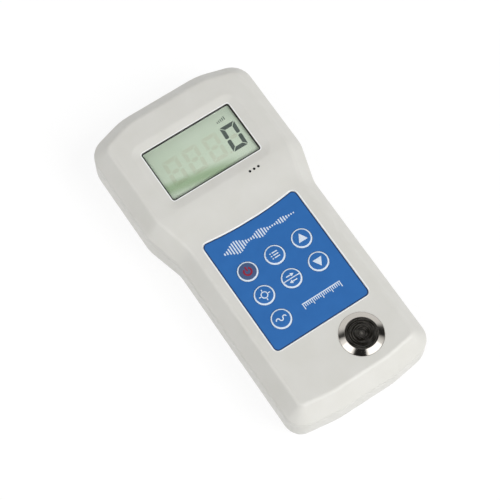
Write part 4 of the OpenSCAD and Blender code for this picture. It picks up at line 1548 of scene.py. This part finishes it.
@dataclass
class Studio:
    """The white sweep, the softboxes and the camera.

    Attributes:
        floor_side: Side of the floor, in metres.
        paper: Colour of the floor.
        lamps: The softboxes.
        wall: Light that the room gives near the floor.
        ceiling: Light that the room gives overhead.
        wall_top: Upward part of the direction at which the pale walls end.
        ceiling_edge: Upward part of the direction at which the dark ceiling starts.
        mirror_lean: How much lower that edge is to the right of the gauge in a mirrored room.
        mirror_ceiling: Light of the ceiling in a mirrored room.
        mirror_wall: Light of the walls in a mirrored room.
        glows: Patches of soft light in a mirrored room: each softbox, and the fade beside it.
        shadow: Share of the floor's shading that the camera sees.
        floor_lit: Brightness of the floor's shading away from the gauge.
        camera_at: Place of the camera, in mm.
        camera_to: Point that it looks at, in mm.
        lens: Focal length, in mm.
        sensor: Width of the camera's sensor, in mm.
        sight: How far the camera sees, in metres.
    """

    floor_side: float = 12.0
    paper: str = "#f4f4f4"
    lamps: tuple[Softbox, ...] = (
        Softbox("softbox_left", (-0.55, 0.07, 0.83), 2.4, 1.1, 0.28, spared=("test_piece",)),
        Softbox("softbox_right", (0.297, -0.601, 0.742), 2.4, 1.4, 0.77, spared=("test_piece",)),
        Softbox("softbox_far", (0.35, 0.8, 0.49), 2.4, 2.8, 0.095, mirrored=False),
    )
    wall: float = 0.71
    ceiling: float = 0.08
    wall_top: float = 0.5
    ceiling_edge: float = 0.58
    mirror_lean: float = 0.14
    mirror_ceiling: float = 0.02
    mirror_wall: float = 0.75
    glows: tuple[Glow, ...] = (
        Glow((-0.57, 0.04, 0.82), 10.0, 19.0, 1.7),
        Glow((-0.54, 0.30, 0.77), 0.0, 15.0, 1.0),
        Glow((0.297, -0.601, 0.742), 17.0, 24.0, 1.7),
        Glow((0.60, -0.42, 0.68), 0.0, 18.0, 0.8),
    )
    shadow: float = 0.16
    floor_lit: float = 0.8
    camera_at: tuple[float, float, float] = (-131.3, -190.7, 588.3)
    camera_to: tuple[float, float, float] = (-6.18, -2.80, 25.9)
    lens: float = 126.04
    sensor: float = 36.0
    sight: float = 50.0

    def seen(self, tree: bpy.types.NodeTree) -> bpy.types.NodeSocket:
        """Tells rays that see the backdrop from those that light the gauge.

        Args:
            tree: The node tree that gets the nodes.

        Returns:
            A socket that is 1 for camera, glossy and transmission rays.
        """
        path = add_node(tree, "ShaderNodeLightPath")
        mirror = add_node(
            tree,
            "ShaderNodeMath",
            {0: path.outputs["Is Camera Ray"], 1: path.outputs["Is Glossy Ray"]},
            operation="MAXIMUM",
        )
        return add_node(
            tree,
            "ShaderNodeMath",
            {0: mirror.outputs["Value"], 1: path.outputs["Is Transmission Ray"]},
            operation="MAXIMUM",
        ).outputs["Value"]

    def floor(self) -> None:
        """Adds a white floor that keeps a trace of the shadow."""
        made = bpy.data.materials.new("white_paper_sweep")
        made.use_nodes = True
        tree = made.node_tree
        tree.nodes.clear()
        diffuse = add_node(tree, "ShaderNodeBsdfDiffuse", {"Color": linear(self.paper)})
        white = (1.0 - self.shadow * self.floor_lit) / (1.0 - self.shadow)
        glow = add_node(tree, "ShaderNodeEmission", {"Color": WHITE, "Strength": white})
        share = add_node(
            tree, "ShaderNodeMath", {0: self.seen(tree), 1: 1.0 - self.shadow}, operation="MULTIPLY"
        )
        mix = add_node(
            tree,
            "ShaderNodeMixShader",
            {0: share.outputs["Value"], 1: diffuse.outputs["BSDF"], 2: glow.outputs["Emission"]},
        )
        add_node(tree, "ShaderNodeOutputMaterial", {"Surface": mix.outputs["Shader"]})
        bm = bmesh.new()
        bmesh.ops.create_grid(bm, x_segments=1, y_segments=1, size=self.floor_side / 2)
        mesh = bpy.data.meshes.new("floor")
        bm.to_mesh(mesh)
        bm.free()
        mesh.materials.append(made)
        floor = bpy.data.objects.new("floor", mesh)
        bpy.context.scene.collection.objects.link(floor)

    def walls(
        self,
        tree: bpy.types.NodeTree,
        way: bpy.types.NodeSocket,
        upward: tuple[float, float, float],
        ceiling: float,
        wall: float,
    ) -> bpy.types.NodeSocket:
        """Gives the light of the walls and the ceiling, with a soft edge between them.

        Args:
            tree: The world's node tree.
            way: Direction that a ray leaves in.
            upward: Direction that counts as up.
            ceiling: Light of the ceiling.
            wall: Light of the walls.

        Returns:
            A socket with the light in that direction.
        """
        height = add_node(tree, "ShaderNodeVectorMath", {0: way, 1: upward}, operation="DOT_PRODUCT")
        return add_node(
            tree,
            "ShaderNodeMapRange",
            {
                "Value": height.outputs["Value"],
                "From Min": self.wall_top,
                "From Max": self.ceiling_edge,
                "To Min": wall,
                "To Max": ceiling,
            },
            interpolation_type="SMOOTHSTEP",
        ).outputs["Result"]

    def room(self) -> None:
        """Lights the world: pale walls under a dark ceiling, white where the camera sees it."""
        world = bpy.data.worlds.new("studio")
        world.use_nodes = True
        bpy.context.scene.world = world
        tree = world.node_tree
        tree.nodes.clear()
        way = add_node(tree, "ShaderNodeTexCoord").outputs["Generated"]
        eye = Vector(self.camera_to) - Vector(self.camera_at)
        lean = eye.cross(Vector((0.0, 0.0, 1.0))).normalized() * self.mirror_lean
        light = self.walls(tree, way, (0.0, 0.0, 1.0), self.ceiling, self.wall)
        mirror = self.walls(tree, way, (lean.x, lean.y, 1.0), self.mirror_ceiling, self.mirror_wall)
        for glow in self.glows:
            mirror = add_node(
                tree, "ShaderNodeMath", {0: mirror, 1: glow.light(tree, way)}, operation="MAXIMUM"
            ).outputs["Value"]
        mirrored = add_node(tree, "ShaderNodeMix", {0: self.seen(tree), 2: light, 3: mirror})
        camera = add_node(tree, "ShaderNodeLightPath").outputs["Is Camera Ray"]
        strength = add_node(
            tree, "ShaderNodeMath", {0: mirrored.outputs[0], 1: camera}, operation="MAXIMUM"
        ).outputs["Value"]
        sky = add_node(tree, "ShaderNodeBackground", {"Color": WHITE, "Strength": strength})
        add_node(tree, "ShaderNodeOutputWorld", {"Surface": sky.outputs["Background"]})

    def camera(self) -> None:
        """Adds the camera at the photograph's angle."""
        lens = bpy.data.cameras.new("camera")
        lens.sensor_fit = "HORIZONTAL"
        lens.sensor_width = self.sensor
        lens.lens = self.lens
        lens.clip_end = self.sight
        camera = bpy.data.objects.new("camera", lens)
        place = Vector(self.camera_at) * MM
        camera.location = place
        camera.rotation_euler = (place - Vector(self.camera_to) * MM).to_track_quat("Z", "Y").to_euler()
        bpy.context.scene.collection.objects.link(camera)
        bpy.context.scene.camera = camera

    def build(self) -> None:
        """Builds the floor, the room, the lamps and the camera."""
        bpy.context.scene.view_settings.view_transform = "Standard"
        self.floor()
        self.room()
        for lamp in self.lamps:
            lamp.build()
        self.camera()


def main() -> None:
    """Builds the gauge's looks and the studio round it."""
    logging.basicConfig(level=logging.INFO, format="%(name)s: %(message)s")
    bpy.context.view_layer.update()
    parts = (
        Case(),
        Display(),
        Keypad(),
        TestBlock(),
        ProbeSockets(),
        BatteryPack(),
        Electronics(),
        Studio(),
    )
    for part in parts:
        LOG.info("building %s", type(part).__name__)
        part.build()


if __name__ == "__main__":
    main()
